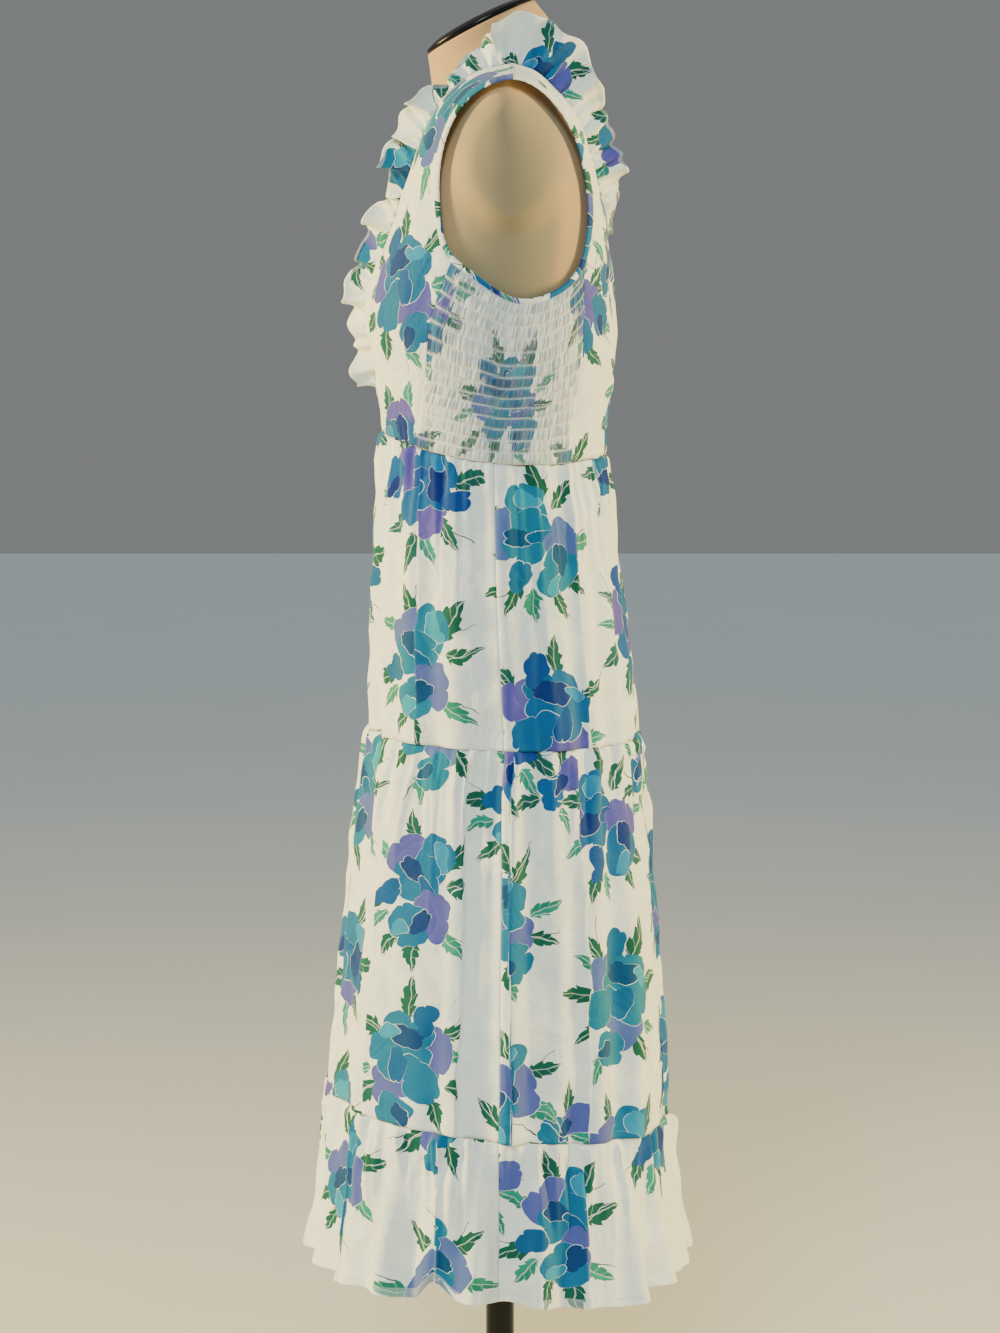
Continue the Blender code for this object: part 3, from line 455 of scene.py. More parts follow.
def skirt_tier(number, half):
    """Front or back half of a tier between the side seams, with gathers, folds and small creases."""
    side, start, flat, shift = half
    tier = TIERS[number]
    seed = 200 + 10 * number + (side == "back")
    t = np.linspace(0, 1, tier.rows + 1)
    if number == 2:
        t = t ** 1.15
    angle = start + math.pi * np.linspace(0, 1, tier.columns + 1)
    angle, t = np.meshgrid(angle, t)
    way = 1 - t
    level = tier.top + (tier.bottom - tier.top) * way
    points = ring_point(SKIRT, angle, level)
    outward = ring_point(SKIRT, angle + 1e-3, level) - ring_point(SKIRT, angle - 1e-3, level)
    outward = unit(np.stack([outward[..., 1], -outward[..., 0], np.zeros(angle.shape)], -1))
    depth = tier.top_depth + (tier.bottom_depth - tier.top_depth) * way ** 1.2
    height = depth * gathers(angle, tier) + fold_height(number, angle, way)
    if number:
        above = TIERS[number - 1]
        held = above.bottom_depth * gathers(angle, above) + fold_height(number - 1, angle, 1)
        height += held * (1 - way) ** 1.5
    top_z = ring_point(SKIRT, angle, np.full(angle.shape, float(tier.top)))[..., 2]
    drop = top_z - points[..., 2]
    cloth = np.stack([girth(SKIRT, (tier.top + tier.bottom) / 2, angle), points[..., 2]], -1)

    fine = wave_heights(FINE_WAVES, angle, 11 + number) * np.exp(-drop / 0.028) * ease(drop / 0.004)
    middle = wave_heights(MIDDLE_WAVES, angle, 21 + number) * np.exp(-((drop - 0.02) / 0.070) ** 2)
    patchy = 0.75 + 0.25 * drift(cloth, 0.16, 90 + number)
    long = wave_heights(LONG_WAVES, angle, 31 + number) * ease(drop / 0.05) * patchy
    calm = 1 - CALM[number] * np.exp(-(np.degrees(angle - math.pi / 2) / 24) ** 2)
    height += ((0.6 * fine + 0.8 * middle) * (1.0 if number else 0.9) + long) * calm
    count, depth, length = PLEATS[number]
    height += calm * pleats(np.degrees(angle - start), drop, count, depth, length, seed)
    height += TIER_CRUMPLE * crumple(cloth, 40 + 7 * number) * ease(drop / 0.03)
    skip = np.zeros(angle.shape)
    for where, centre, width, lift, way_round in TUCKS:
        turn = (centre - math.degrees(start)) % 360
        if where != number or turn >= 180:
            continue
        apart = np.degrees(angle - start) - turn + 0.5 * np.sin(drop * 17 + centre)
        behind = np.maximum(apart * way_round, 0)
        height += lift * ease(drop / 0.02) * np.where(apart * way_round >= 0, np.exp(-behind / 3.0), 0)
        skip += width * (apart > 0)
    seam_apart = np.minimum(np.abs(angle - math.pi / 2), np.abs(np.abs(angle - math.pi / 2) - math.pi))
    height -= SEAM_DIP * np.exp(-(seam_apart * 0.16 / 0.0018) ** 2)
    height -= GATHER_DIP * np.exp(-(drop / 0.003) ** 2)
    height += GATHER_ROLL * np.exp(-((drop - 0.010) / 0.006) ** 2) * (1 if number else 0.3)
    points = points + outward * height[..., None]
    cloth[..., 0] += skip + shift[0]
    cloth[..., 1] += shift[1]
    hem = np.ones(angle.shape)
    if number == 2:
        lift = sum(rise * np.exp(-(((np.degrees(angle) - centre + 180) % 360 - 180) / half_width) ** 2)
                   for centre, half_width, rise in HEM_LIFTS)
        points[..., 2] += lift * way ** 1.6
        hem = points[..., 2] - points[:1, :, 2]
        points = points + outward * (HEM_TURN * ease((HEM_WIDTH - hem) / 0.0012 + 0.5))[..., None]
    above = f"{TIERS[number - 1].name}_{side}_cloth" if number else "form_body"
    cloth_piece(f"{tier.name}_{side}", points, cloth, {"hem": hem})


# Bodice

def bodice_cloth(place):
    """Cloth places of the bodice: length round the bust ring, length up the side."""
    return np.stack([girth(BODICE, 3, place[..., 0]), 1.10 + climb(BODICE, math.radians(60), place[..., 1])],
                    -1)


# Soft drag lines on a front: start and end (length round, height), half width, depth
FRONT_CREASES = (
    (-0.195, 1.165, -0.120, 1.118, 0.006, 0.0030),
    (-0.180, 1.190, -0.110, 1.135, 0.007, -0.0016),
    (-0.165, 1.240, -0.142, 1.120, 0.006, 0.0012),
    (-0.150, 1.310, -0.128, 1.190, 0.008, 0.0015),
    (-0.135, 1.300, -0.118, 1.150, 0.006, 0.0012),
    (-0.205, 1.300, -0.190, 1.180, 0.012, 0.0010),
    (-0.240, 1.180, -0.250, 1.115, 0.008, 0.0014),
    (-0.270, 1.190, -0.275, 1.115, 0.007, 0.0012),
    (-0.118, 1.400, -0.150, 1.330, 0.008, 0.0014),
    (-0.100, 1.345, -0.160, 1.290, 0.010, 0.0012),
    (-0.215, 1.350, -0.175, 1.270, 0.010, -0.0008),
)


def crease_height(cloth):
    total = 0.0
    for u0, v0, u1, v1, width, depth in FRONT_CREASES:
        start, run = np.array((u0, v0)), np.array((u1 - u0, v1 - v0))
        along = np.clip(((cloth - start) @ run) / (run @ run), 0, 1)
        bend = 0.006 * np.sin(along * math.pi)
        apart = np.linalg.norm(cloth - start - along[..., None] * run + (bend[..., None] * (1, 0.4)), axis=-1)
        total = total + depth * np.exp(-(apart / width) ** 2) * (0.25 + 0.75 * np.sin(along * math.pi))
    return total


Panel = namedtuple("Panel", "angle points cloth normal width from_first from_last rise")
# How far the drag lines and crumples are raised, the dip at the waist seam and the roll of an edge
FRONT_CREASE = 1.8
FRONT_CRUMPLE = 2.2
BACK_CRUMPLE = 2.0
FRONT_GATHERS = 0.0008
BACK_GATHERS = 0.0009
WAIST_DIP = 0.0012
EDGE_ROLL = 0.0005
EDGE_ROLL_WIDTH = 0.006
EDGE_TO_HEM = 0.0025
# Where each piece is cut from the print
PRINT_SHIFTS = {
    "bodice_front_left": (0.030, 0.075), "bodice_front_right": (0.40, 0.21), "bodice_back": (0.31, 0.02),
    "smocked_side_left": (0.075, 0.085), "smocked_side_right": (0.55, 0.13),
    "armhole_binding": (0.20, 1.30), "neck_ruffle": (0.16, 0.687),
}


def panel_between(first, last, columns):
    """Grid between a panel's two edges, with the lengths from each edge and the rise from the waist."""
    s = np.linspace(0, 1, columns + 1)[None, :, None]
    place = first[:, None] * (1 - s) + last[:, None] * s
    points = ring_point(BODICE, place[..., 0], place[..., 1])
    normal = ring_normal(BODICE, place[..., 0], np.minimum(place[..., 1], RIDGE - 0.15))
    width = np.linalg.norm(points[:, -1] - points[:, 0], axis=-1)[:, None]
    s = s[..., 0]
    return Panel(place[..., 0], points, bodice_cloth(place), normal, width, s * width, (1 - s) * width,
                 points[..., 2] - points[:1, :, 2])


def front_panel(sunk, seed):
    """Left front as a grid of points, its cloth places and its marks."""
    t = np.linspace(0, 1, 120)
    edge = neckline(FRONT_EDGE, t, waist_angle=WRAP_END_ANGLE)
    side = side_edge(t, ARMHOLE_FRONT_CORNER, SIDE_FRONT_ANGLE, 0)
    panel = panel_between(edge, side, 96)
    hold = ease(panel.from_first / 0.01) * ease(panel.from_last / 0.01)
    height = (FRONT_CREASE * crease_height(panel.cloth) + FRONT_CRUMPLE * crumple(panel.cloth, seed)) * hold
    height += FRONT_GATHERS * ripple(panel.angle * 1.3, 45, seed + 9) * np.exp(-panel.rise / 0.022) * hold
    height -= WAIST_DIP * np.exp(-(panel.rise / 0.003) ** 2)
    height += EDGE_ROLL * (panel.from_first < EDGE_ROLL_WIDTH)
    if sunk:
        inward = ease(panel.from_last / panel.width / 0.07)
        height -= UNDERLAP_DEPTH * inward * ease((0.80 - t[:, None]) / 0.12)
    points = panel.points + panel.normal * height[..., None]
    return points, panel.cloth, {"hem": panel.from_first + EDGE_TO_HEM}


def make_fronts():
    for side, sunk, seed in (("left", False, 61), ("right", True, 66)):
        grid = front_panel(sunk, seed)
        points, cloth, marks = other_side(*grid) if sunk else grid
        node = f"bodice_front_{side}"
        cloth_piece(node, points, cloth + PRINT_SHIFTS[node], marks,
                    area=0.058)


def back_panel():
    """Left half of the back: below the V it reaches centre back, above it the neckline."""
    rows = 102
    t = np.linspace(0, 1, rows + 1)
    join = LOWER_ROWS / (LOWER_ROWS + UPPER_ROWS)
    neck = neckline(BACK_EDGE, np.clip((t - join) / (1 - join), 0, 1), back=True)
    middle = np.stack([np.full(t.shape, math.pi), neck[0, 1] * np.minimum(t / join, 1)], -1)
    middle = np.where((t <= join + 1e-9)[:, None], middle, neck)
    side = side_edge(t, ARMHOLE_BACK_CORNER, SIDE_BACK_ANGLE, len(ARMHOLE))
    panel = panel_between(side, middle, 60)
    from_edge = panel.from_last + (t[:, None] <= join)
    gathered = BACK_GATHERS * ripple(panel.angle, 40, 78) * np.exp(-panel.rise / 0.05)
    height = (BACK_CRUMPLE * crumple(panel.cloth, 77) + gathered) * ease(panel.from_first / 0.01)
    height -= WAIST_DIP * np.exp(-(panel.rise / 0.003) ** 2)
    height += EDGE_ROLL * (from_edge < EDGE_ROLL_WIDTH)
    points = panel.points + panel.normal * height[..., None]
    points[:int(round(rows * join)) + 1, -1, 0] = 0
    return points, panel.cloth, {"hem": from_edge + EDGE_TO_HEM}


def make_back():
    """Both halves of the back in one piece, joined at centre back below the V."""
    points, cloth, marks = back_panel()
    shift = PRINT_SHIFTS["bodice_back"]
    left = sheet_mesh("bodice_back_cloth", points, cloth + shift, marks)
    across = 2 * girth(BODICE, 3, math.pi) - cloth[..., 0]
    points, cloth, marks = other_side(points, np.stack([across, cloth[..., 1]], -1), marks)
    right = sheet_mesh("back_right", points, cloth + shift, marks)
    work = bmesh.new()
    work.from_mesh(left)
    work.from_mesh(right)
    bmesh.ops.remove_doubles(work, verts=work.verts, dist=1e-6)
    work.to_mesh(left)
    work.free()
    bpy.data.meshes.remove(right)
    finish_sheet("bodice_back", left)


# Rows of elastic, puckers across a row, height of a puff and of the thread's own roll, cut width on the print
SMOCK_ROWS = 14
PUCKERS = 36
PUFF_HEIGHT = 0.0034
THREAD_HEIGHT = 0.0005
SMOCK_PRINT = (0.268, 0.17)


def smocked_panel():
    """Side panel: puffed rows between elastic threads, with fine puckers across each row."""
    rows, columns = SMOCK_ROWS * 8, 190
    t = np.linspace(0, 1, rows + 1)
    s = np.linspace(0, 1, columns + 1)
    top = armhole_outline(ARMHOLE_FRONT_CORNER + (ARMHOLE_BACK_CORNER - ARMHOLE_FRONT_CORNER) * s,
                          BINDING_WIDTH)
    waist = np.stack([SIDE_FRONT_ANGLE + (SIDE_BACK_ANGLE - SIDE_FRONT_ANGLE) * s, np.zeros(s.shape)], -1)
    place = waist[None] * (1 - t)[:, None, None] + top[None] * t[:, None, None]
    points = ring_point(BODICE, place[..., 0], place[..., 1])
    normal = grid_normal(points)
    s, t = np.meshgrid(s, t)
    sag = 0.10 * np.sin(2 * math.pi * s * 1.5 + 1) + 0.06 * np.sin(2 * math.pi * s * 4 + 5 * t)
    line = t * SMOCK_ROWS + sag * np.sin(math.pi * t)
    row = np.floor(line)
    within = line - row
    draw = np.random.RandomState(5)
    shift = draw.uniform(0, 1, SMOCK_ROWS + 4)[np.clip(row, -1, SMOCK_ROWS + 1).astype(int) + 1]
    uneven = (0.35 * np.sin(2 * math.pi * (s * 7 + shift * 3))
              + 0.3 * np.sin(2 * math.pi * (s * 17 + shift * 9)))
    cells = PUCKERS * s + shift + uneven
    pucker = np.abs(np.sin(math.pi * cells)) ** 0.75
    size = 0.75 + 0.35 * np.sin(np.floor(cells) * 12.9 + row * 7.7)
    puff = np.sin(math.pi * within) ** 0.6
    edge = ease(s / 0.05) * ease((1 - s) / 0.05)
    to_thread = np.minimum(within, 1 - within)
    roll = THREAD_HEIGHT * np.exp(-(to_thread / 0.07) ** 2)
    height = (PUFF_HEIGHT * puff * (0.30 + 0.70 * pucker * size) + roll) * (0.15 + 0.85 * edge)
    points = points + normal * height[..., None]
    cut_width, cut_height = SMOCK_PRINT
    cloth = np.stack([(s - 0.5) * cut_width + 0.010 * (pucker - 0.5), 1.10 + t * cut_height], -1)
    thread = np.exp(-(to_thread / 0.075) ** 2)
    # Painted shade in the valleys under the elastic rows and between the puckers, with a little all over the
    # panel
    painted_groove_shade = (0.10 + (1 - puff) * 0.5 * (1 - thread) + (1 - pucker) * 1.1 * puff) * edge
    return points, cloth, {"elastic": thread, "painted_groove_shade": painted_groove_shade}


def make_binding():
    """Narrow folded band round the armhole."""
    count = 220
    places = np.arange(count) * len(ARMHOLE) / count
    steps = np.linspace(0, 1, 9)
    rings = []
    for step in steps:
        outline = armhole_outline(places, (BINDING_WIDTH + 0.0006) * step)
        at_ridge = outline[:, 1] >= RIDGE - 1e-6
        normal = ring_normal(BODICE, outline[:, 0], np.minimum(outline[:, 1], RIDGE - 0.02))
        normal = np.where(at_ridge[:, None], unit(normal * (1, 0, 1)), normal)
        crown = 0.0013 * (1 - (2 * step - 1) ** 2) ** 0.5 + 0.0002 * np.sin(places * 31)
        rings.append(ring_point(BODICE, outline[:, 0], outline[:, 1]) + normal * crown[:, None])
    points = np.array(rings)
    around = points[4]
    reach = reach_along(np.vstack([around, around[:1]]))
    cloth = np.stack(np.broadcast_arrays(reach[None, :], (steps * BINDING_WIDTH)[:, None]), -1)
    return points, cloth


# Neck ruffle

RUFFLE_WIDTH = 0.031
RUFFLE_SHOULDER_WIDTH = 0.050
RUFFLE_WAVE_LENGTH = 0.038
RUFFLE_SWING = 0.0068
RUFFLE_START = 0.012
RUFFLE_EASE = 0.030
RUFFLE_END = 0.006
RUFFLE_BACK_TAPER = 0.075
RUFFLE_SHOULDER_REACH = 0.046
RUFFLE_SHOULDER_SHIFT = 0.020
RUFFLE_LEAN = math.radians(58)
RUFFLE_SHOULDER_LEAN = math.radians(88)
RUFFLE_DIPS = ((1.350, 0.014, 0.50), (1.461, 0.020, 0.66))
LEFT_RUFFLE_END = 0.08
RIGHT_RUFFLE_END = 0.62
# Cut of a ruffle over its waved length and width, and the share of it that the tapers leave
RUFFLE_CUT = 1.04
RUFFLE_AREA = 0.6
# Heights and lengths of the small gathers at the seam and of the middle ones, and swings at the edge
RUFFLE_SMALL = (0.0022, 0.0105)
RUFFLE_MIDDLE = (0.0046, 0.019)
RUFFLE_CURL = 0.0065
RUFFLE_SWAY = 0.0040
RUFFLE_PULL = 0.0016
RUFFLE_HEM_ROLL = 0.0004
RUFFLE_HEM_WIDTH = 0.0032
RUFFLE_TO_HEM = 0.0055


def neck_path(front_end, count):
    """Neckline from centre back over the shoulder and down the front, with its directions."""
    rows = LOWER_ROWS + UPPER_ROWS
    end = round(front_end * rows) / rows
    back = neckline(BACK_EDGE, np.linspace(0, 1, 61), back=True)[:-1]
    front = neckline(FRONT_EDGE, np.linspace(1, end, 121), waist_angle=WRAP_END_ANGLE)
    places = np.vstack([back, front])
    points = ring_point(BODICE, places[:, 0], places[:, 1])
    normals = ring_normal(BODICE, places[:, 0], np.minimum(places[:, 1], RIDGE - 0.15))
    reach = reach_along(points)

    def read(values, length):
        return np.stack([np.interp(length, reach, values[:, k]) for k in range(3)], -1)

    t = np.linspace(0, 1, count)
    length = RUFFLE_START + t * (reach[-1] - RUFFLE_START)
    before, after = np.maximum(length - RUFFLE_EASE, 0), np.minimum(length + RUFFLE_EASE, reach[-1])
    tangent = read(points, after) - read(points, before)
    outward = read(normals, before) + read(normals, length) + read(normals, after)
    into = unit(np.cross(tangent, outward))
    outward = unit(np.cross(into, tangent))
    whole = reach[-1] - RUFFLE_START
    return t, read(points, length), outward, into, whole, (reach[60] - RUFFLE_START) / whole


def ruffle(front_end, end_taper, seed):
    """Gathered strip on the neckline, in uneven waves with a narrow rolled edge."""
    count, steps = 420, np.linspace(0, 1, 17)
    t, root, outward, into, whole, shoulder = neck_path(front_end, count)
    waves = round(whole / RUFFLE_WAVE_LENGTH)
    past = (t - shoulder) * whole + RUFFLE_SHOULDER_SHIFT
    near = np.exp(-(past / RUFFLE_SHOULDER_REACH) ** 2)
    taper = ease(np.minimum(t * whole / RUFFLE_BACK_TAPER, (1 - t) * whole / end_taper))
    width = RUFFLE_WIDTH + (RUFFLE_SHOULDER_WIDTH - RUFFLE_WIDTH) * near
    dip = sum(depth * np.exp(-((root[:, 2] - z) / half) ** 2) for z, half, depth in RUFFLE_DIPS)
    width = width * (1 - np.where(root[:, 1] > 0, 0, dip))
    width = RUFFLE_END + (width - RUFFLE_END) * taper
    lean = RUFFLE_LEAN + (RUFFLE_SHOULDER_LEAN - RUFFLE_LEAN) * near
    uneven = 0.7 * np.sin(3.1 * t * math.pi) + 0.3 * np.sin(7.3 * t * math.pi)
    turn = 2 * math.pi * waves * t + uneven
    wave = np.cos(turn)
    wave = np.sign(wave) * np.abs(wave) ** 0.75 * (1 + 0.2 * np.sin(11 * t * math.pi))
    length = t * whole
    along = into * np.cos(lean)[:, None] + outward * np.sin(lean)[:, None]
    across = outward * np.cos(lean)[:, None] - into * np.sin(lean)[:, None]
    tangent = unit(np.gradient(root, axis=0))
    root = root + into * (SEAM_GAP + WALL / 2) - outward * WALL / 2
    phases = np.random.RandomState(seed).uniform(0, 2 * math.pi, 6)
    small_height, small_length = RUFFLE_SMALL
    middle_height, middle_length = RUFFLE_MIDDLE
    small_turn = 2 * math.pi * length / small_length + 3 * np.sin(length * 31 + phases[0])
    middle_turn = 2 * math.pi * length / middle_length + 2.2 * np.sin(length * 21 + phases[1])
    rings = []
    for step in steps:
        swing = RUFFLE_SWING * taper * wave * step ** 1.25
        small = small_height * np.sin(small_turn) * (1 - step) ** 1.2 * ease(step / 0.08)
        middle = middle_height * taper * np.sin(middle_turn) * step ** 0.8 * (1.2 - 0.5 * step)
        curl = RUFFLE_CURL * taper * step ** 3 * np.sin(turn * 0.5 + phases[2])
        sway = RUFFLE_SWAY * taper * step ** 2 * np.sin(turn + 1.2)
        pull = RUFFLE_PULL * taper * step * np.cos(2 * turn + phases[3])
        dent = 0.06 * width * step ** 2 * np.cos(turn + phases[4]) * taper
        point = root + along * (width * step + WALL / 2 - dent + pull)[:, None]
        rings.append(point + across * (swing + small + middle + curl)[:, None] + tangent * sway[:, None])
    points = np.array(rings)[:, ::-1]
    reach = reach_along(points[12])
    cloth = np.stack(np.broadcast_arrays(reach[None, :], (steps[:, None] * width[::-1][None, :])), -1)
    hem = (1 - steps)[:, None] * width[::-1][None, :]
    normal = grid_normal(points)
    points = points + normal * (RUFFLE_HEM_ROLL * (hem < RUFFLE_HEM_WIDTH))[..., None]
    return points, cloth, {"hem": hem + RUFFLE_TO_HEM}, reach[-1], float(width.max())


# Form and stand

# Arm plate's y, z, half width, half height and reach
ARM_PLATE = (0.012, 1.388, 0.060, 0.072, 0.016)
BASE_RADIUS = 0.170
POLE_RADIUS = 0.0145
HUB_RADIUS = 0.026
HUB_HEIGHT = 0.060
FORM_BOTTOM = 0.775
COVER_FOLD_Y = 0.054
EDGE_BEVEL = 0.0009


def plate_reach(points):
    """How far the form bulges outward at the arm plates."""
    y, z, half_y, half_z, reach = ARM_PLATE
    off = np.hypot((points[..., 1] - y) / half_y, (points[..., 2] - z) / half_z)
    return reach * ease((1 - off) / 0.35)


def cover_fold(points):
    """Soft fold in the cover cloth down each arm plate, from 0 to 1; it lifts the cover slightly and also
    places a painted warm highlight streak.
    """
    across = (points[..., 1] - COVER_FOLD_Y - 0.010 * np.sin((points[..., 2] - 1.25) * 14)) / 0.009
    along = ease((points[..., 2] - 1.22) / 0.03) * ease((1.40 - points[..., 2]) / 0.05)
    return np.exp(-across ** 2) * along * (np.abs(points[..., 0]) > 0.05)


def make_form():
    """Cloth-covered torso with arm plates and a neck."""
    columns, rows = 128, 180
    level = np.linspace(0, len(FORM) - 1, rows + 1)
    angle = 2 * math.pi * np.arange(columns) / columns
    angle, level = np.meshgrid(angle, level)
    points = ring_point(FORM, angle, level)
    bulge = np.where(np.abs(points[..., 0]) > 0.05, plate_reach(points), 0)
    fold = cover_fold(points)
    points[..., 0] += np.sign(points[..., 0]) * (bulge + 0.0012 * fold)
    # Painted warm light on the front and back of the upper torso, where the side lamps reach
    rim = ease((np.abs(points[..., 1] - 0.012) - 0.035) / 0.030) * (points[..., 2] > 1.28)
    # Painted warm light: the lit rims, the highlight streak along the fold and the top of the neck
    painted_warm_light = np.maximum(np.maximum(0.8 * fold, 0.7 * rim), ease((points[..., 2] - 1.43) / 0.03))
    turn = np.concatenate([angle, np.full((rows + 1, 1), 2 * math.pi)], 1)
    up = np.concatenate([level, level[:, :1]], 1)
    cloth = np.stack([turn * 0.13, climb(FORM, math.pi / 2, up)], -1)
    mesh = sheet_mesh("form_body", points, cloth, {"painted_light_warmth": painted_warm_light}, closed=True)
    work = bmesh.new()
    work.from_mesh(mesh)
    bmesh.ops.holes_fill(work, edges=[e for e in work.edges if e.is_boundary])
    work.normal_update()
    work.to_mesh(mesh)
    work.free()
    piece = add_piece("form_body", mesh, form_cloth)
    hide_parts("form_torso")


def deselect():
    for other in bpy.context.selected_objects:
        other.select_set(False)


def settle(piece):
    """The piece's place goes into its mesh."""
    deselect()
    piece.select_set(True)
    bpy.context.view_layer.objects.active = piece
    bpy.ops.object.transform_apply(location=True, rotation=True, scale=True)


def turned_mesh(name, profile, segments=96):
    """Piece turned about the upright axis from its radii and heights, bottom first."""
    deselect()
    radius, height = profile[0]
    bpy.ops.mesh.primitive_circle_add(vertices=segments, radius=radius, fill_type="NGON",
                                      location=(0, 0, height))
    piece = bpy.context.object
    bpy.ops.object.mode_set(mode="EDIT")
    bpy.ops.mesh.select_all(action="SELECT")
    for next_radius, next_height in profile[1:]:
        bpy.ops.mesh.extrude_region_move(TRANSFORM_OT_translate={"value": (0, 0, next_height - height)})
        bpy.ops.transform.resize(value=(next_radius / radius, next_radius / radius, 1))
        radius, height = next_radius, next_height
    bpy.ops.mesh.select_all(action="SELECT")
    bpy.ops.mesh.normals_make_consistent(inside=False)
    bpy.ops.object.mode_set(mode="OBJECT")
    piece.name = piece.data.name = name
    settle(piece)
    return piece


def finish_hard_piece(piece, material, node):
    bpy.ops.object.shade_smooth_by_angle(angle=math.radians(35))
    piece.data.materials.append(material)
    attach(piece, "root")
    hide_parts(node)


def ease_edges(piece):
    bevel = piece.modifiers.new("eased edges", "BEVEL")
    bevel.width = EDGE_BEVEL
    bevel.segments = 3
    bevel.limit_method = "ANGLE"
    bevel.angle_limit = math.radians(25)
    bpy.ops.object.modifier_apply(modifier=bevel.name)


def make_stand():
    base = [(BASE_RADIUS - 0.003, 0.0), (BASE_RADIUS, 0.003), (BASE_RADIUS, 0.009),
            (BASE_RADIUS - 0.003, 0.012), (0.110, 0.0165), (HUB_RADIUS + 0.012, 0.020),
            (HUB_RADIUS + 0.003, 0.024), (HUB_RADIUS, 0.030), (HUB_RADIUS, 0.057),
            (HUB_RADIUS - 0.003, HUB_HEIGHT)]
    pole = [(POLE_RADIUS - 0.0008, HUB_HEIGHT + 0.0003), (POLE_RADIUS, HUB_HEIGHT + 0.0012),
            (POLE_RADIUS, FORM_BOTTOM - 0.0012), (POLE_RADIUS - 0.0008, FORM_BOTTOM - 0.0003)]
    for name, profile, node in (("base_plate", base, "stand_base"), ("pole_tube", pole, "stand_pole")):
        piece = turned_mesh(name, profile)
        ease_edges(piece)
        finish_hard_piece(piece, enamel, node)


# Cap's share of the neck's cut and its height over it, from the rim's underside to the crown
CAP_PROFILE = (
    (0.965, 0.0003), (0.980, 0.0008), (0.985, 0.0030), (0.980, 0.0042), (0.968, 0.0048), (0.950, 0.0047),
    (0.930, 0.0052), (0.860, 0.0072), (0.750, 0.0089), (0.600, 0.0100), (0.420, 0.0107), (0.250, 0.0111),
    (0.050, 0.0113),
)


def make_cap():
    """Domed cap, turned round, then stretched and tilted onto the neck's slanted oval cut."""
    front_z, side_z, back_z, front_y, back_y, half_width = FORM[-1][:6]
    piece = turned_mesh("neck_cap_dome", CAP_PROFILE)
    piece.scale = (half_width, math.hypot(back_y - front_y, back_z - front_z) / 2, 1)
    piece.rotation_euler = (math.atan2(back_z - front_z, back_y - front_y), 0, 0)
    piece.location = (0, (front_y + back_y) / 2, side_z)
    settle(piece)
    finish_hard_piece(piece, plastic, "neck_cap")


# Finishes

def tint(red, green, blue):
    """Linear colour of an sRGB colour given from 0 to 255."""
    values = [c / 255 for c in (red, green, blue)]
    return (*[v / 12.92 if v <= 0.04045 else ((v + 0.055) / 1.055) ** 2.4 for v in values], 1.0)


IVORY = tint(239, 242, 233)
TURQUOISE = tint(0, 104, 147)
LIGHT_BLUE = tint(30, 138, 176)
MIDDLE_BLUE = tint(0, 84, 138)
DEEP_BLUE = tint(0, 58, 114)
PERIWINKLE = tint(80, 88, 164)
EMERALD = tint(0, 90, 72)
MINT = tint(32, 144, 120)
TWIG = tint(78, 80, 62)


class Wire:
    """A shader value that is worked with like a number: each step becomes a Math node."""

    def __init__(self, nodes, socket):
        self.nodes = nodes
        self.socket = socket

    def __add__(self, other):
        return self.nodes.math("ADD", self, other)

    def __radd__(self, other):
        return self.nodes.math("ADD", other, self)

    def __sub__(self, other):
        return self.nodes.math("SUBTRACT", self, other)

    def __rsub__(self, other):
        return self.nodes.math("SUBTRACT", other, self)

    def __mul__(self, other):
        return self.nodes.math("MULTIPLY", self, other)

    def __truediv__(self, other):
        return self.nodes.math("DIVIDE", self, other)

    def __mod__(self, other):
        return self.nodes.math("FLOORED_MODULO", self, other)

    def __pow__(self, other):
        return self.nodes.math("POWER", self, other)

    def __abs__(self):
        return self.nodes.math("ABSOLUTE", self)

    def __gt__(self, other):
        return self.nodes.math("GREATER_THAN", self, other)

    def __lt__(self, other):
        return self.nodes.math("LESS_THAN", self, other)


class Nodes:
    """Adds and joins the shader nodes of one tree."""

    def __init__(self, tree):
        self.tree = tree

    def put(self, socket, value):
        if isinstance(value, Wire):
            self.tree.links.new(value.socket, socket)
        else:
            socket.default_value = value

    def node(self, kind, *values, sockets=None, **settings):
        """New node; values go to its first sockets, and sockets holds others by name or place."""
        node = self.tree.nodes.new("ShaderNode" + kind)
        for key, value in settings.items():
            setattr(node, key, value)
        for place, value in (*enumerate(values), *(sockets or {}).items()):
            self.put(node.inputs[place], value)
        return node

    def wire(self, kind, *values, out=0, **more):
        return Wire(self, self.node(kind, *values, **more).outputs[out])

    def wires(self, kind, *values, **more):
        return [Wire(self, socket) for socket in self.node(kind, *values, **more).outputs]

    def math(self, operation, *values):
        return self.wire("Math", *values, operation=operation)

    def vector(self, operation, *values, out="Vector"):
        return self.wire("VectorMath", *values, operation=operation, out=out)

    def mix(self, share, under, over, blend="MIX"):
        sockets = {0: share, 6: under, 7: over}
        return self.wire("Mix", sockets=sockets, out=2, data_type="RGBA", blend_type=blend)

    def toned(self, color, tone):
        """Colour times a value."""
        return self.mix(1.0, color, self.wire("CombineXYZ", tone, tone, tone), "MULTIPLY")

    def noise(self, place, scale, dimensions="2D", out="Fac", **sockets):
        return self.wire("TexNoise", place, out=out, sockets={"Scale": scale, **sockets},
                         noise_dimensions=dimensions)

    def bump(self, height, strength, distance, **sockets):
        return self.wire("Bump", sockets={"Strength": strength, "Distance": distance, "Height": height,
                                          **sockets})

    def mark(self, name):
        return self.wire("Attribute", attribute_name=name, out="Fac")

    def use(self, group, **values):
        """Outputs of a group that is placed with its own values."""
        node = self.node("Group", sockets=values, node_tree=group)
        return {socket.name: Wire(self, socket) for socket in node.outputs}


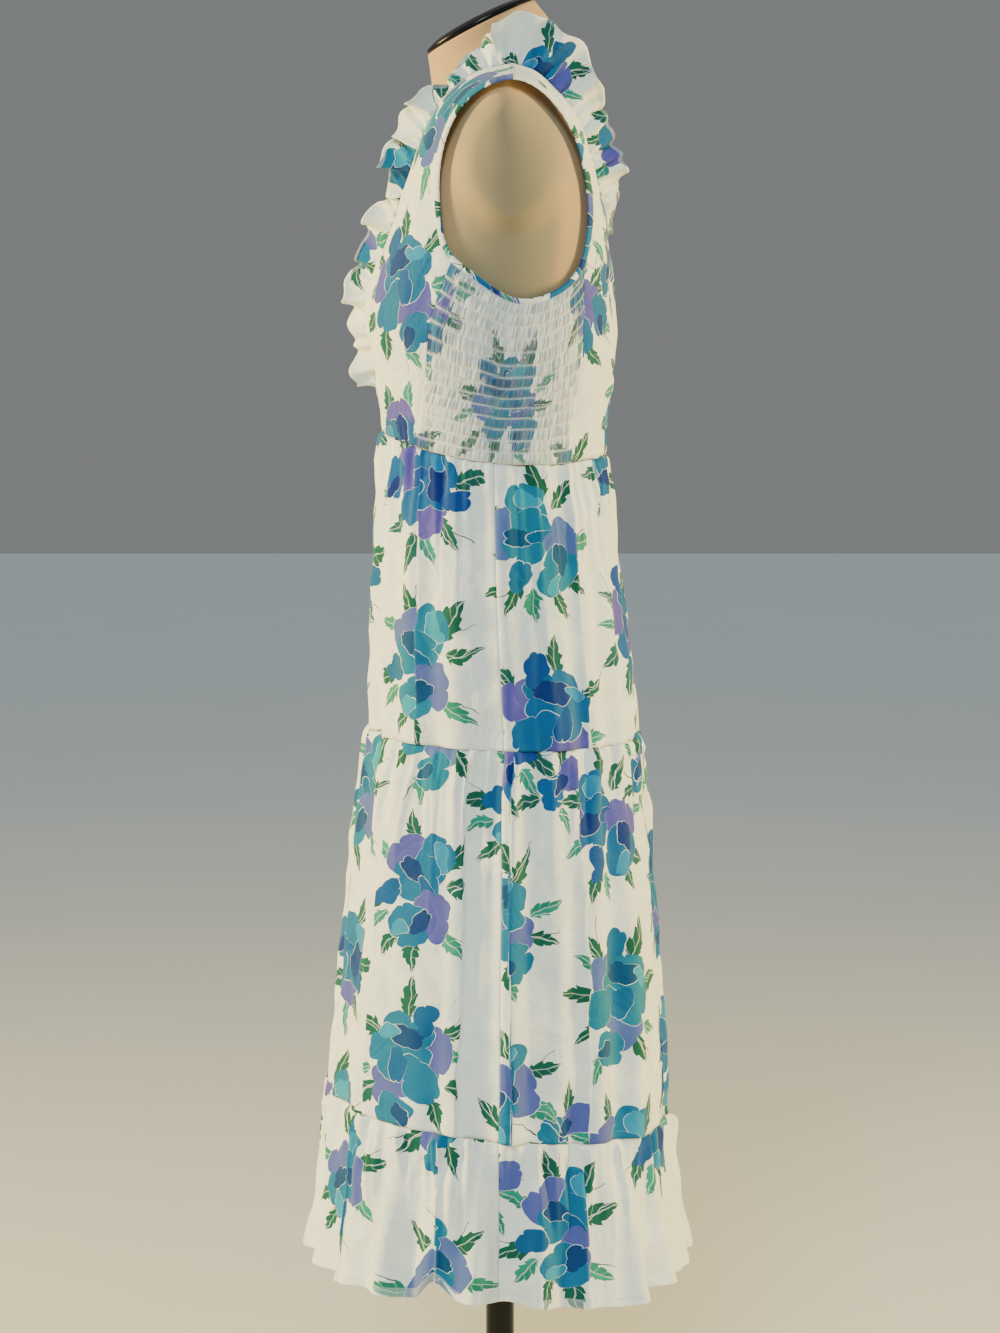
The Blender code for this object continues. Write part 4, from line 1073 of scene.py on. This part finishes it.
def new_group(name, inputs, *outputs):
    """Empty node group with named sockets: (name, kind, value) in, (name, kind) out."""
    tree = bpy.data.node_groups.new(name, "ShaderNodeTree")
    for label, kind, value in inputs:
        socket = tree.interface.new_socket(label, in_out="INPUT", socket_type="NodeSocket" + kind)
        if value is not None:
            socket.default_value = value
    for label, kind in outputs:
        tree.interface.new_socket(label, in_out="OUTPUT", socket_type="NodeSocket" + kind)
    n = Nodes(tree)
    source = {socket.name: Wire(n, socket) for socket in tree.nodes.new("NodeGroupInput").outputs}
    return tree, n, source, tree.nodes.new("NodeGroupOutput").inputs


# Print: halo of bare cloth round a shape, petal creases, and the dark side of a leaf
HALO = 0.00038
PETAL_CREASE = 0.00014
LEAF_VEIN = 0.00045
LEAF_SHADE = (0.0, 0.06, 0.05, 1.0)
TWIG_HALF_WIDTH = 0.0009
CLOTH_IN = ("Cloth", "Vector", None)
COLOR_OUT = ("Color", "Color")
SHAPE_SOCKETS = [("Under", "Color", IVORY), CLOTH_IN, ("Centre", "Vector", None), ("Along", "Vector", None),
                 ("Across", "Vector", None), ("Ink", "Color", TURQUOISE), ("Halo", "Float", HALO)]


def ink_step(n, source, depth, ink, target, thinning=1.0):
    """The shape's colour over what is under it, with a thin unprinted line round it."""
    halo = depth > source["Halo"] * thinning * -1.0
    bare = n.mix(halo, source["Under"], IVORY)
    n.put(target["Color"], n.mix(depth > 0.0, bare, ink))


def local_place(n, source):
    """Place on the cloth measured from the shape's centre, along its own axes."""
    apart = n.vector("SUBTRACT", source["Cloth"], source["Centre"])
    return [n.vector("DOT_PRODUCT", apart, source[axis], out="Value") for axis in ("Along", "Across")]


def share_of(n, value, whole):
    """Value over whole, kept from 0 to 1."""
    return n.math("MINIMUM", n.math("MAXIMUM", value / whole, 0.0), 1.0)


def petal_group():
    """Round shape with soft lobes and notches, for petals, cups and hearts of flowers."""
    tree, n, source, target = new_group("print_petals", SHAPE_SOCKETS + [
        ("Radius", "Float", 0.03), ("Lobes", "Float", 5.0), ("Notch", "Float", 0.25),
        ("Squash", "Float", 1.0), ("Crease", "Float", 0.5)], COLOR_OUT)
    x, y = local_place(n, source)
    y = y / source["Squash"]
    angle = n.math("ARCTAN2", y, x)
    radius = n.math("SQRT", x * x + y * y)
    lobe = abs(n.math("SINE", angle * (source["Lobes"] * 0.5)))
    dent = source["Notch"] * (1.0 - lobe ** 0.5)
    rim = source["Radius"] * (1.0 - dent)
    outside = radius > source["Radius"] * source["Crease"]
    crease = (lobe * radius / source["Lobes"] < PETAL_CREASE) * outside
    thinning = 0.75 + n.math("SINE", angle + source["Radius"] * 400.0)
    ink_step(n, source, rim - radius, n.mix(crease, source["Ink"], IVORY), target, thinning)
    return tree


def leaf_group():
    """Pointed leaf with a toothed edge, a pale vein and one darker half."""
    tree, n, source, target = new_group("print_leaf", SHAPE_SOCKETS + [
        ("Length", "Float", 0.04), ("Width", "Float", 0.016), ("Teeth", "Float", 4.0)], COLOR_OUT)
    x, y = local_place(n, source)
    y = y - x * x * 3.0
    way = share_of(n, x, source["Length"])
    body = n.math("SINE", way ** 0.66 * math.pi)
    upper = y > 0.0
    teeth = n.math("FRACT", way * source["Teeth"] + upper * 0.5)
    half = body * (0.66 + teeth * 0.34) * (source["Width"] * 0.5)
    out = abs(y)
    ribs = (n.math("FRACT", way * 4.0 - out * 90.0) < 0.10) * upper
    shaded = n.mix(upper * 0.30, source["Ink"], LEAF_SHADE)
    veined = n.mix(n.math("MAXIMUM", out < LEAF_VEIN, ribs * 0.4) * 0.55, shaded, IVORY)
    ink_step(n, source, half - out, veined, target)
    return tree


def twig_group():
    """Thin bent twig that ends in a point."""
    tree, n, source, target = new_group("print_twig", SHAPE_SOCKETS + [
        ("Length", "Float", 0.03), ("Bend", "Float", 0.004)], COLOR_OUT)
    x, y = local_place(n, source)
    way = share_of(n, x, source["Length"])
    out = abs(y - n.math("SINE", way * 4.4) * source["Bend"])
    inside = (way > 0.001) * (way < 0.999)
    depth = ((1.0 - way * 0.6) * TWIG_HALF_WIDTH - out) * inside - (1.0 - inside) * 0.01
    ink_step(n, source, depth, source["Ink"], target)
    return tree


# Sprays charted in millimetres round the middle of each. Twig: x, y, turn, length, bend.
# Leaf: x, y, turn, length, width, ink. Petals: x, y, turn, radius, lobes, notch, squash, crease, ink.
INKS = {"t": TURQUOISE, "l": LIGHT_BLUE, "d": MIDDLE_BLUE, "b": DEEP_BLUE, "p": PERIWINKLE,
        "e": EMERALD, "m": MINT}
SPRAYS = (
    {
        "twigs": ((-4, 6, 40, 74, 6), (2, -8, -24, 74, -6), (-6, -4, 196, 72, 6), (0, 0, 108, 76, 5),
                  (0, -10, -102, 68, 5)),
        "leaves": ((24, 30, 56, 46, 22, "e"), (32, 14, 12, 42, 19, "e"), (-16, 42, 114, 36, 18, "e"),
                   (-36, 20, 160, 38, 17, "m"), (-34, -16, 204, 42, 20, "e"), (8, -48, -70, 32, 17, "e"),
                   (38, -30, -30, 38, 18, "m"), (-10, -46, -118, 32, 16, "e"), (-30, -30, 232, 34, 15, "m")),
        "petals": ((-19, 25, 15, 28, 3, .30, .85, .80, "p"), (10, 33, 70, 28, 4, .28, .80, .82, "t"),
                   (16, 40, 120, 15, 3, .26, .60, 2, "l"), (-4, 11, 200, 30, 4, .28, .78, .85, "t"),
                   (-12, 17, 150, 17, 3, .26, .58, 2, "b"), (8, 5, 330, 13, 3, .26, .52, 2, "d"),
                   (22, -19, 100, 28, 4, .30, .82, .80, "p"), (1, -34, 10, 28, 3, .32, .80, .82, "t"),
                   (12, -27, 60, 17, 3, .28, .60, 2, "b"), (-10, -42, 200, 12, 3, .26, .56, 2, "l"),
                   (-34, -13, 30, 18, 3, .32, .70, .78, "d")),
    },
    {
        "twigs": ((0, 10, 64, 78, -5), (-10, 0, 170, 74, 6), (8, -10, -62, 74, 6), (10, 0, 4, 78, -6)),
        "leaves": ((16, 40, 62, 40, 21, "e"), (-22, 38, 120, 42, 20, "e"), (-42, 4, 180, 36, 18, "e"),
                   (42, 16, 26, 38, 17, "m"), (44, -2, -8, 36, 19, "e"), (-26, -34, 228, 42, 20, "e"),
                   (0, -40, -86, 38, 17, "e"), (30, -44, -50, 34, 16, "m"), (-40, -16, 204, 34, 14, "m")),
        "petals": ((-25, -4, 150, 29, 3, .32, .80, .80, "p"), (27, -8, 20, 29, 3, .32, .80, .80, "p"),
                   (0, 18, 0, 39, 5, .24, .84, .84, "t"), (-2, -20, 260, 28, 3, .30, .66, .82, "t"),
                   (-12, 23, 40, 21, 4, .26, .60, 2, "b"), (13, 4, 300, 18, 3, .26, .56, 2, "d"),
                   (6, 37, 10, 14, 3, .24, .50, 2, "l"), (39, -33, 50, 23, 4, .30, .80, .80, "t"),
                   (33, -39, 80, 13, 3, .26, .60, 2, "b"), (-39, 29, 120, 18, 3, .32, .70, .80, "d")),
    },
)
SPRIG = {
    "twigs": ((-30, -18, 24, 70, 5), (-4, -4, 80, 44, -4), (0, 0, 170, 52, 5)),
    "leaves": ((-20, -10, 196, 36, 16, "e"), (-10, 14, 132, 34, 15, "m"), (22, -8, -22, 38, 17, "e"),
               (6, 18, 84, 34, 15, "e"), (4, -18, -76, 30, 13, "m")),
    "petals": ((15, 9, 20, 21, 3, .32, .8, .8, "p"), (-8, -2, 110, 20, 4, .30, .8, .82, "t"),
               (4, 3, 50, 12, 3, .26, .58, 2, "b")),
}


def spray_group(name, chart, shapes):
    """One spray of flowers, drawn shape over shape."""
    tree, n, source, target = new_group(name, [("Under", "Color", IVORY), CLOTH_IN], COLOR_OUT)
    petals, leaf, twig = shapes
    color = source["Under"]

    def draw(group, x, y, turn, **values):
        turn = math.radians(turn)
        return n.use(group, Under=color, Cloth=source["Cloth"], Centre=(x / 1000, y / 1000, 0),
                     Along=(math.cos(turn), math.sin(turn), 0), Across=(-math.sin(turn), math.cos(turn), 0),
                     **values)["Color"]

    for x, y, turn, length, bend in chart["twigs"]:
        color = draw(twig, x, y, turn, Length=length / 1000, Bend=bend / 1000, Ink=TWIG, Halo=0.0)
    for x, y, turn, length, width, ink in chart["leaves"]:
        color = draw(leaf, x, y, turn, Length=length / 1000, Width=width / 1000, Ink=INKS[ink])
    for x, y, turn, radius, lobes, notch, squash, crease, ink in chart["petals"]:
        color = draw(petals, x, y, turn, Radius=radius / 1000, Lobes=float(lobes), Notch=notch,
                     Squash=squash, Crease=float(crease), Ink=INKS[ink])
    n.put(target["Color"], color)
    return tree


# Print's repeat, the shares of sprigs shown and of cells left bare, turn and hue spread of a spray
REPEAT = (0.155, 0.167)
SPRIG_SHARE = 0.55
BARE_SHARE = 0.08
SPRAY_TURN = 2.2
HUE_SPREAD = 0.05
OUTLINE_SHAKE = 0.014


def floral_group():
    """Sprays over the cloth in half-drop columns, each turned, mirrored and shifted in its own way."""
    tree, n, source, target = new_group("floral_print", [CLOTH_IN], COLOR_OUT)
    shapes = (petal_group(), leaf_group(), twig_group())
    sprays = [spray_group(f"print_spray_{k + 1}", chart, shapes) for k, chart in enumerate(SPRAYS)]
    sprig = spray_group("print_sprig", SPRIG, shapes)
    wobble = n.noise(source["Cloth"], 34.0, out="Color", Detail=2.0, Roughness=0.5)
    shake = n.vector("MULTIPLY", n.vector("SUBTRACT", wobble, (0.5, 0.5, 0.5)),
                     (OUTLINE_SHAKE, OUTLINE_SHAKE, 0.0))
    x, y, _ = n.wires("SeparateXYZ", n.vector("ADD", source["Cloth"], shake))
    over = x / REPEAT[0]
    rise = y / REPEAT[1]
    column = n.math("FLOOR", over)
    up = rise + column % 2.0 * 0.5
    row = n.math("FLOOR", up)

    def within(cells, size):
        return (n.math("FRACT", cells) - 0.5) * size

    corner = n.wire("CombineXYZ", within(over + 0.5, REPEAT[0]), within(rise + 0.75, REPEAT[1]), 0.0)
    corner_cell = n.wire("CombineXYZ", n.math("FLOOR", over + 0.5), n.math("FLOOR", rise + 0.75), 7.0)
    chance = n.wire("TexWhiteNoise", corner_cell, noise_dimensions="3D", out="Value")
    ground = n.mix(chance < SPRIG_SHARE, n.use(sprig, Cloth=corner)["Color"], IVORY)
    value, color = n.wires("TexWhiteNoise", n.wire("CombineXYZ", column, row, 0.0), noise_dimensions="3D")
    red, green, blue = n.wires("SeparateColor", color)
    local_x = within(over, REPEAT[0]) * ((red > 0.5) * 2.0 - 1.0)
    local = n.wire("CombineXYZ", local_x, within(up, REPEAT[1]), 0.0)
    turn = {"Angle": (green - 0.5) * SPRAY_TURN}
    spot = n.wire("VectorRotate", local, sockets=turn, rotation_type="Z_AXIS")
    first, second = (n.use(spray, Under=ground, Cloth=spot)["Color"] for spray in sprays)
    drawn = n.mix((column + row) % 2.0 > 0.5, first, second)
    drawn = n.mix(value < BARE_SHARE, drawn, ground)
    hue = 0.5 - HUE_SPREAD / 2 + blue * HUE_SPREAD
    drawn = n.wire("HueSaturation", sockets={"Hue": hue, "Color": drawn})
    wash = n.noise(source["Cloth"], 55.0, Detail=4.0)
    n.put(target["Color"], n.toned(drawn, 0.90 + wash * 0.20))
    return tree


WEAVE_PITCH = 0.0006
KNIT_PITCH = 0.0009
SLUB_SCALES = ((900.0, 25.0, 1.0), (25.0, 900.0, 1.0))


def weave_group():
    """Plain weave: crossing threads of one pitch, with thicker threads here and there."""
    tree, n, source, target = new_group("plain_weave", [CLOTH_IN, ("Pitch", "Float", WEAVE_PITCH)],
                                        ("Height", "Float"), ("Tone", "Float"))
    x, y, _ = n.wires("SeparateXYZ", source["Cloth"])
    warp, weft = (n.math("SINE", place * math.pi / source["Pitch"]) for place in (x, y))
    slub_x, slub_y = (n.noise(n.vector("MULTIPLY", source["Cloth"], scale), 1.0) for scale in SLUB_SCALES)
    slubs = slub_x + slub_y
    n.put(target["Height"], warp * weft * 0.25 + slubs * 0.5)
    n.put(target["Tone"], 0.94 + slubs * 0.06)
    return tree


def stitch_group():
    """Row of short stitches at one distance from a hem's edge."""
    tree, n, source, target = new_group("stitch_row", [
        CLOTH_IN, ("Distance", "Float", 1.0), ("Row", "Float", 0.0080), ("Length", "Float", 0.0030)],
        ("Mask", "Float"))
    x = n.wires("SeparateXYZ", source["Cloth"])[0]
    dash = n.math("FRACT", x / source["Length"]) < 0.72
    n.put(target["Mask"], dash * (abs(source["Distance"] - source["Row"]) < 0.00042))
    return tree


# What is the same all over each finish
COTTON_FINISH = {"Roughness": 0.82, "Specular IOR Level": 0.25, "Sheen Weight": 0.12, "Sheen Roughness": 0.5}
KNIT_FINISH = {"Roughness": 0.8, "Sheen Weight": 0.15, "Specular IOR Level": 0.3}
GLOSS_FINISH = {"Specular IOR Level": 0.22, "Coat Weight": 0.05, "Coat Roughness": 0.1}
FLOOR_FINISH = {"Roughness": 0.9}
ELASTIC_THREAD = (0.93, 0.93, 0.90, 1.0)
GROOVE_SHADE = (0.27, 0.30, 0.33, 1.0)
STITCH_SHADE = (0.45, 0.46, 0.42, 1.0)
KNIT_TINTS = (tint(160, 142, 108), tint(148, 131, 98))
# Painted warm lamp light on the form's cover
PAINTED_WARM_LIGHT_TINT = tint(198, 158, 112)
DUST = (0.03, 0.03, 0.03, 1.0)
FLOOR_TINTS = ((0.60, 0.60, 0.59, 1), (0.63, 0.63, 0.62, 1))


def new_material(name, finish):
    material = bpy.data.materials.new(name)
    material.use_nodes = True
    shader = material.node_tree.nodes["Principled BSDF"]
    for socket, value in finish.items():
        shader.inputs[socket].default_value = value
    return material, Nodes(material.node_tree), shader.inputs


def printed_cotton(name, groups, show_through=0.0):
    """Printed cotton; on its wrong side the print shows through pale."""
    floral, weave, stitches = groups
    material, n, shader = new_material(name, COTTON_FINISH)
    cloth = n.wire("UVMap", uv_map="cloth")
    threads = n.use(weave, Cloth=cloth)
    color = n.toned(n.mix(show_through, n.use(floral, Cloth=cloth)["Color"], IVORY), threads["Tone"])
    hem = n.mark("hem")
    sewn = n.use(stitches, Cloth=cloth, Distance=hem)["Mask"]
    # The smocking's valley mark adds painted shade in its grooves
    for share, shade in (((hem < HEM_WIDTH) * 0.22, IVORY), (n.mark("elastic") * 0.68, ELASTIC_THREAD),
                         (n.mark("painted_groove_shade") * 0.66, GROOVE_SHADE), (sewn * 0.35, STITCH_SHADE)):
        color = n.mix(share, color, shade)
    n.put(shader["Base Color"], color)
    creases = n.noise(cloth, 17.0, Detail=4.0, Roughness=0.5, Distortion=0.6)
    soft = n.bump(abs(creases - 0.5) ** 0.75, 0.5, 0.006)
    n.put(shader["Normal"], n.bump(threads["Height"] - sewn * 1.0, 0.25, 0.0003, Normal=soft))
    return material


def knit_cover(name, weave):
    """Khaki cover cloth of the form, uneven in tone, with painted warm lamp light on its lit rims, fold
    streak and neck top.
    """
    material, n, shader = new_material(name, KNIT_FINISH)
    cloth = n.wire("UVMap", uv_map="cloth")
    threads = n.use(weave, Cloth=cloth, Pitch=KNIT_PITCH)
    color = n.mix(n.noise(cloth, 14.0, Detail=4.0), *KNIT_TINTS)
    # Painted warm lamp light on the cover's lit rims, fold streak and neck top
    color = n.mix(n.mark("painted_light_warmth"), color, PAINTED_WARM_LIGHT_TINT)
    n.put(shader["Base Color"], n.toned(color, threads["Tone"]))
    n.put(shader["Normal"], n.bump(threads["Height"], 0.3, 0.0004))
    return material


def scuff_group():
    """Faint smudges and dust for glossy black surfaces."""
    tree, n, source, target = new_group("scuffs", [("Place", "Vector", None), ("Scale", "Float", 18.0)],
                                        ("Mask", "Float"))
    noise = n.noise(source["Place"], source["Scale"], "3D", Detail=6.0)
    n.put(target["Mask"], n.math("SMOOTH_MIN", noise ** 2.0, 1.0, 0.1))
    return tree


def gloss_black(name, scuffs, roughness, color):
    material, n, shader = new_material(name, GLOSS_FINISH)
    mask = n.use(scuffs, Place=n.wire("TexCoord", out="Object"))["Mask"]
    n.put(shader["Base Color"], n.mix(mask * 0.2, color, DUST))
    n.put(shader["Roughness"], roughness + mask * 0.18)
    return material


# Stage, light and camera

PHOTO_HEIGHT = 1333
FOCAL_PIXELS = 3300
SENSOR_HEIGHT = 36.0
CAMERA_PLACE = (3.3, 0.0, 1.2282)
CAMERA_DROP = math.radians(5.8)
LAMP_AIM = Vector((0, 0, 0.95))
# Lamps: kind, name, place, power, colour, and a sun's spread or an area lamp's sides
LAMPS = (
    ("SUN", "window", (3.3, -0.5, 2.9), 2.2, (0.72, 0.93, 1.0), math.radians(20)),
    ("AREA", "front lamp", (0.1, -2.9, 1.7), 215, (1.0, 0.77, 0.28), (0.5, 1.6)),
    ("AREA", "back lamp", (-0.1, 2.9, 1.6), 175, (1.0, 0.79, 0.30), (0.5, 1.6)),
)


def make_stage():
    deselect()
    bpy.ops.mesh.primitive_plane_add(size=30, location=(0, 0, 0))
    floor = bpy.context.object
    floor.name = "floor"
    material, n, shader = new_material("floor_paint", FLOOR_FINISH)
    grain = n.noise(n.wire("TexCoord", out="Object"), 3.0, "3D")
    n.put(shader["Base Color"], n.mix(grain, *FLOOR_TINTS))
    floor.data.materials.append(material)


def lamp(kind, name, place, power, color, size):
    light = bpy.data.lights.new(name, kind)
    light.energy = power
    light.color = color
    if kind == "SUN":
        light.angle = size
    else:
        light.shape = "RECTANGLE"
        light.size, light.size_y = size
    holder = bpy.data.objects.new(name, light)
    holder.location = place
    holder.rotation_euler = (LAMP_AIM - Vector(place)).to_track_quat("-Z", "Y").to_euler()
    bpy.context.scene.collection.objects.link(holder)


def make_light():
    world = bpy.data.worlds.new("soft room")
    world.use_nodes = True
    back = world.node_tree.nodes["Background"]
    back.inputs["Color"].default_value = (0.80, 0.83, 0.84, 1)
    back.inputs["Strength"].default_value = 0.25
    bpy.context.scene.world = world
    for values in LAMPS:
        lamp(*values)


def make_camera():
    camera = bpy.data.cameras.new("photo view")
    camera.sensor_fit = "VERTICAL"
    camera.sensor_height = SENSOR_HEIGHT
    camera.lens = FOCAL_PIXELS * SENSOR_HEIGHT / PHOTO_HEIGHT
    view = bpy.data.objects.new("photo view", camera)
    view.location = CAMERA_PLACE
    view.rotation_euler = (math.pi / 2 - CAMERA_DROP, 0, math.pi / 2)
    bpy.context.scene.collection.objects.link(view)
    bpy.context.scene.camera = view


def make_smocked_sides():
    grid = smocked_panel()
    for side, (points, cloth, marks) in (("left", grid), ("right", other_side(*grid))):
        node = f"smocked_side_{side}"
        cloth_piece(node, points, cloth + PRINT_SHIFTS[node], marks)


def make_bindings():
    points, cloth = make_binding()
    for side, grid, places in (("left", points[::-1], cloth[::-1]), ("right", points * (-1, 1, 1), cloth)):
        cloth_piece(f"armhole_binding_{side}", grid, places + PRINT_SHIFTS["armhole_binding"],
                    closed=True)


def make_ruffles():
    for side, end, taper, seed in (("left", LEFT_RUFFLE_END, 0.025, 3), ("right", RIGHT_RUFFLE_END, 0.09, 8)):
        *grid, length, width = ruffle(end, taper, seed)
        points, cloth, marks = other_side(*grid) if side == "right" else grid
        flat = (length * RUFFLE_CUT, width * RUFFLE_CUT)
        cloth_piece(f"neck_ruffle_{side}", points, cloth + PRINT_SHIFTS["neck_ruffle"],
                    marks, area=RUFFLE_AREA * length * width)


# Making

weave = weave_group()
cotton_groups = (floral_group(), weave, stitch_group())
printed = printed_cotton("printed_cotton", cotton_groups)
printed_inside = printed_cotton("printed_cotton_wrong_side", cotton_groups, show_through=0.72)
form_cloth = knit_cover("form_cover", weave)
scuffs = scuff_group()
enamel = gloss_black("black_enamel_finish", scuffs, 0.12, (0.003, 0.003, 0.004, 1))
plastic = gloss_black("black_plastic_finish", scuffs, 0.20, (0.004, 0.004, 0.005, 1))

make_stage()
make_light()
make_camera()
make_form()
make_cap()
make_stand()
make_fronts()
make_back()
make_smocked_sides()
make_bindings()
make_ruffles()
for number, halves in enumerate(HALVES):
    for half in halves:
        skirt_tier(number, half)
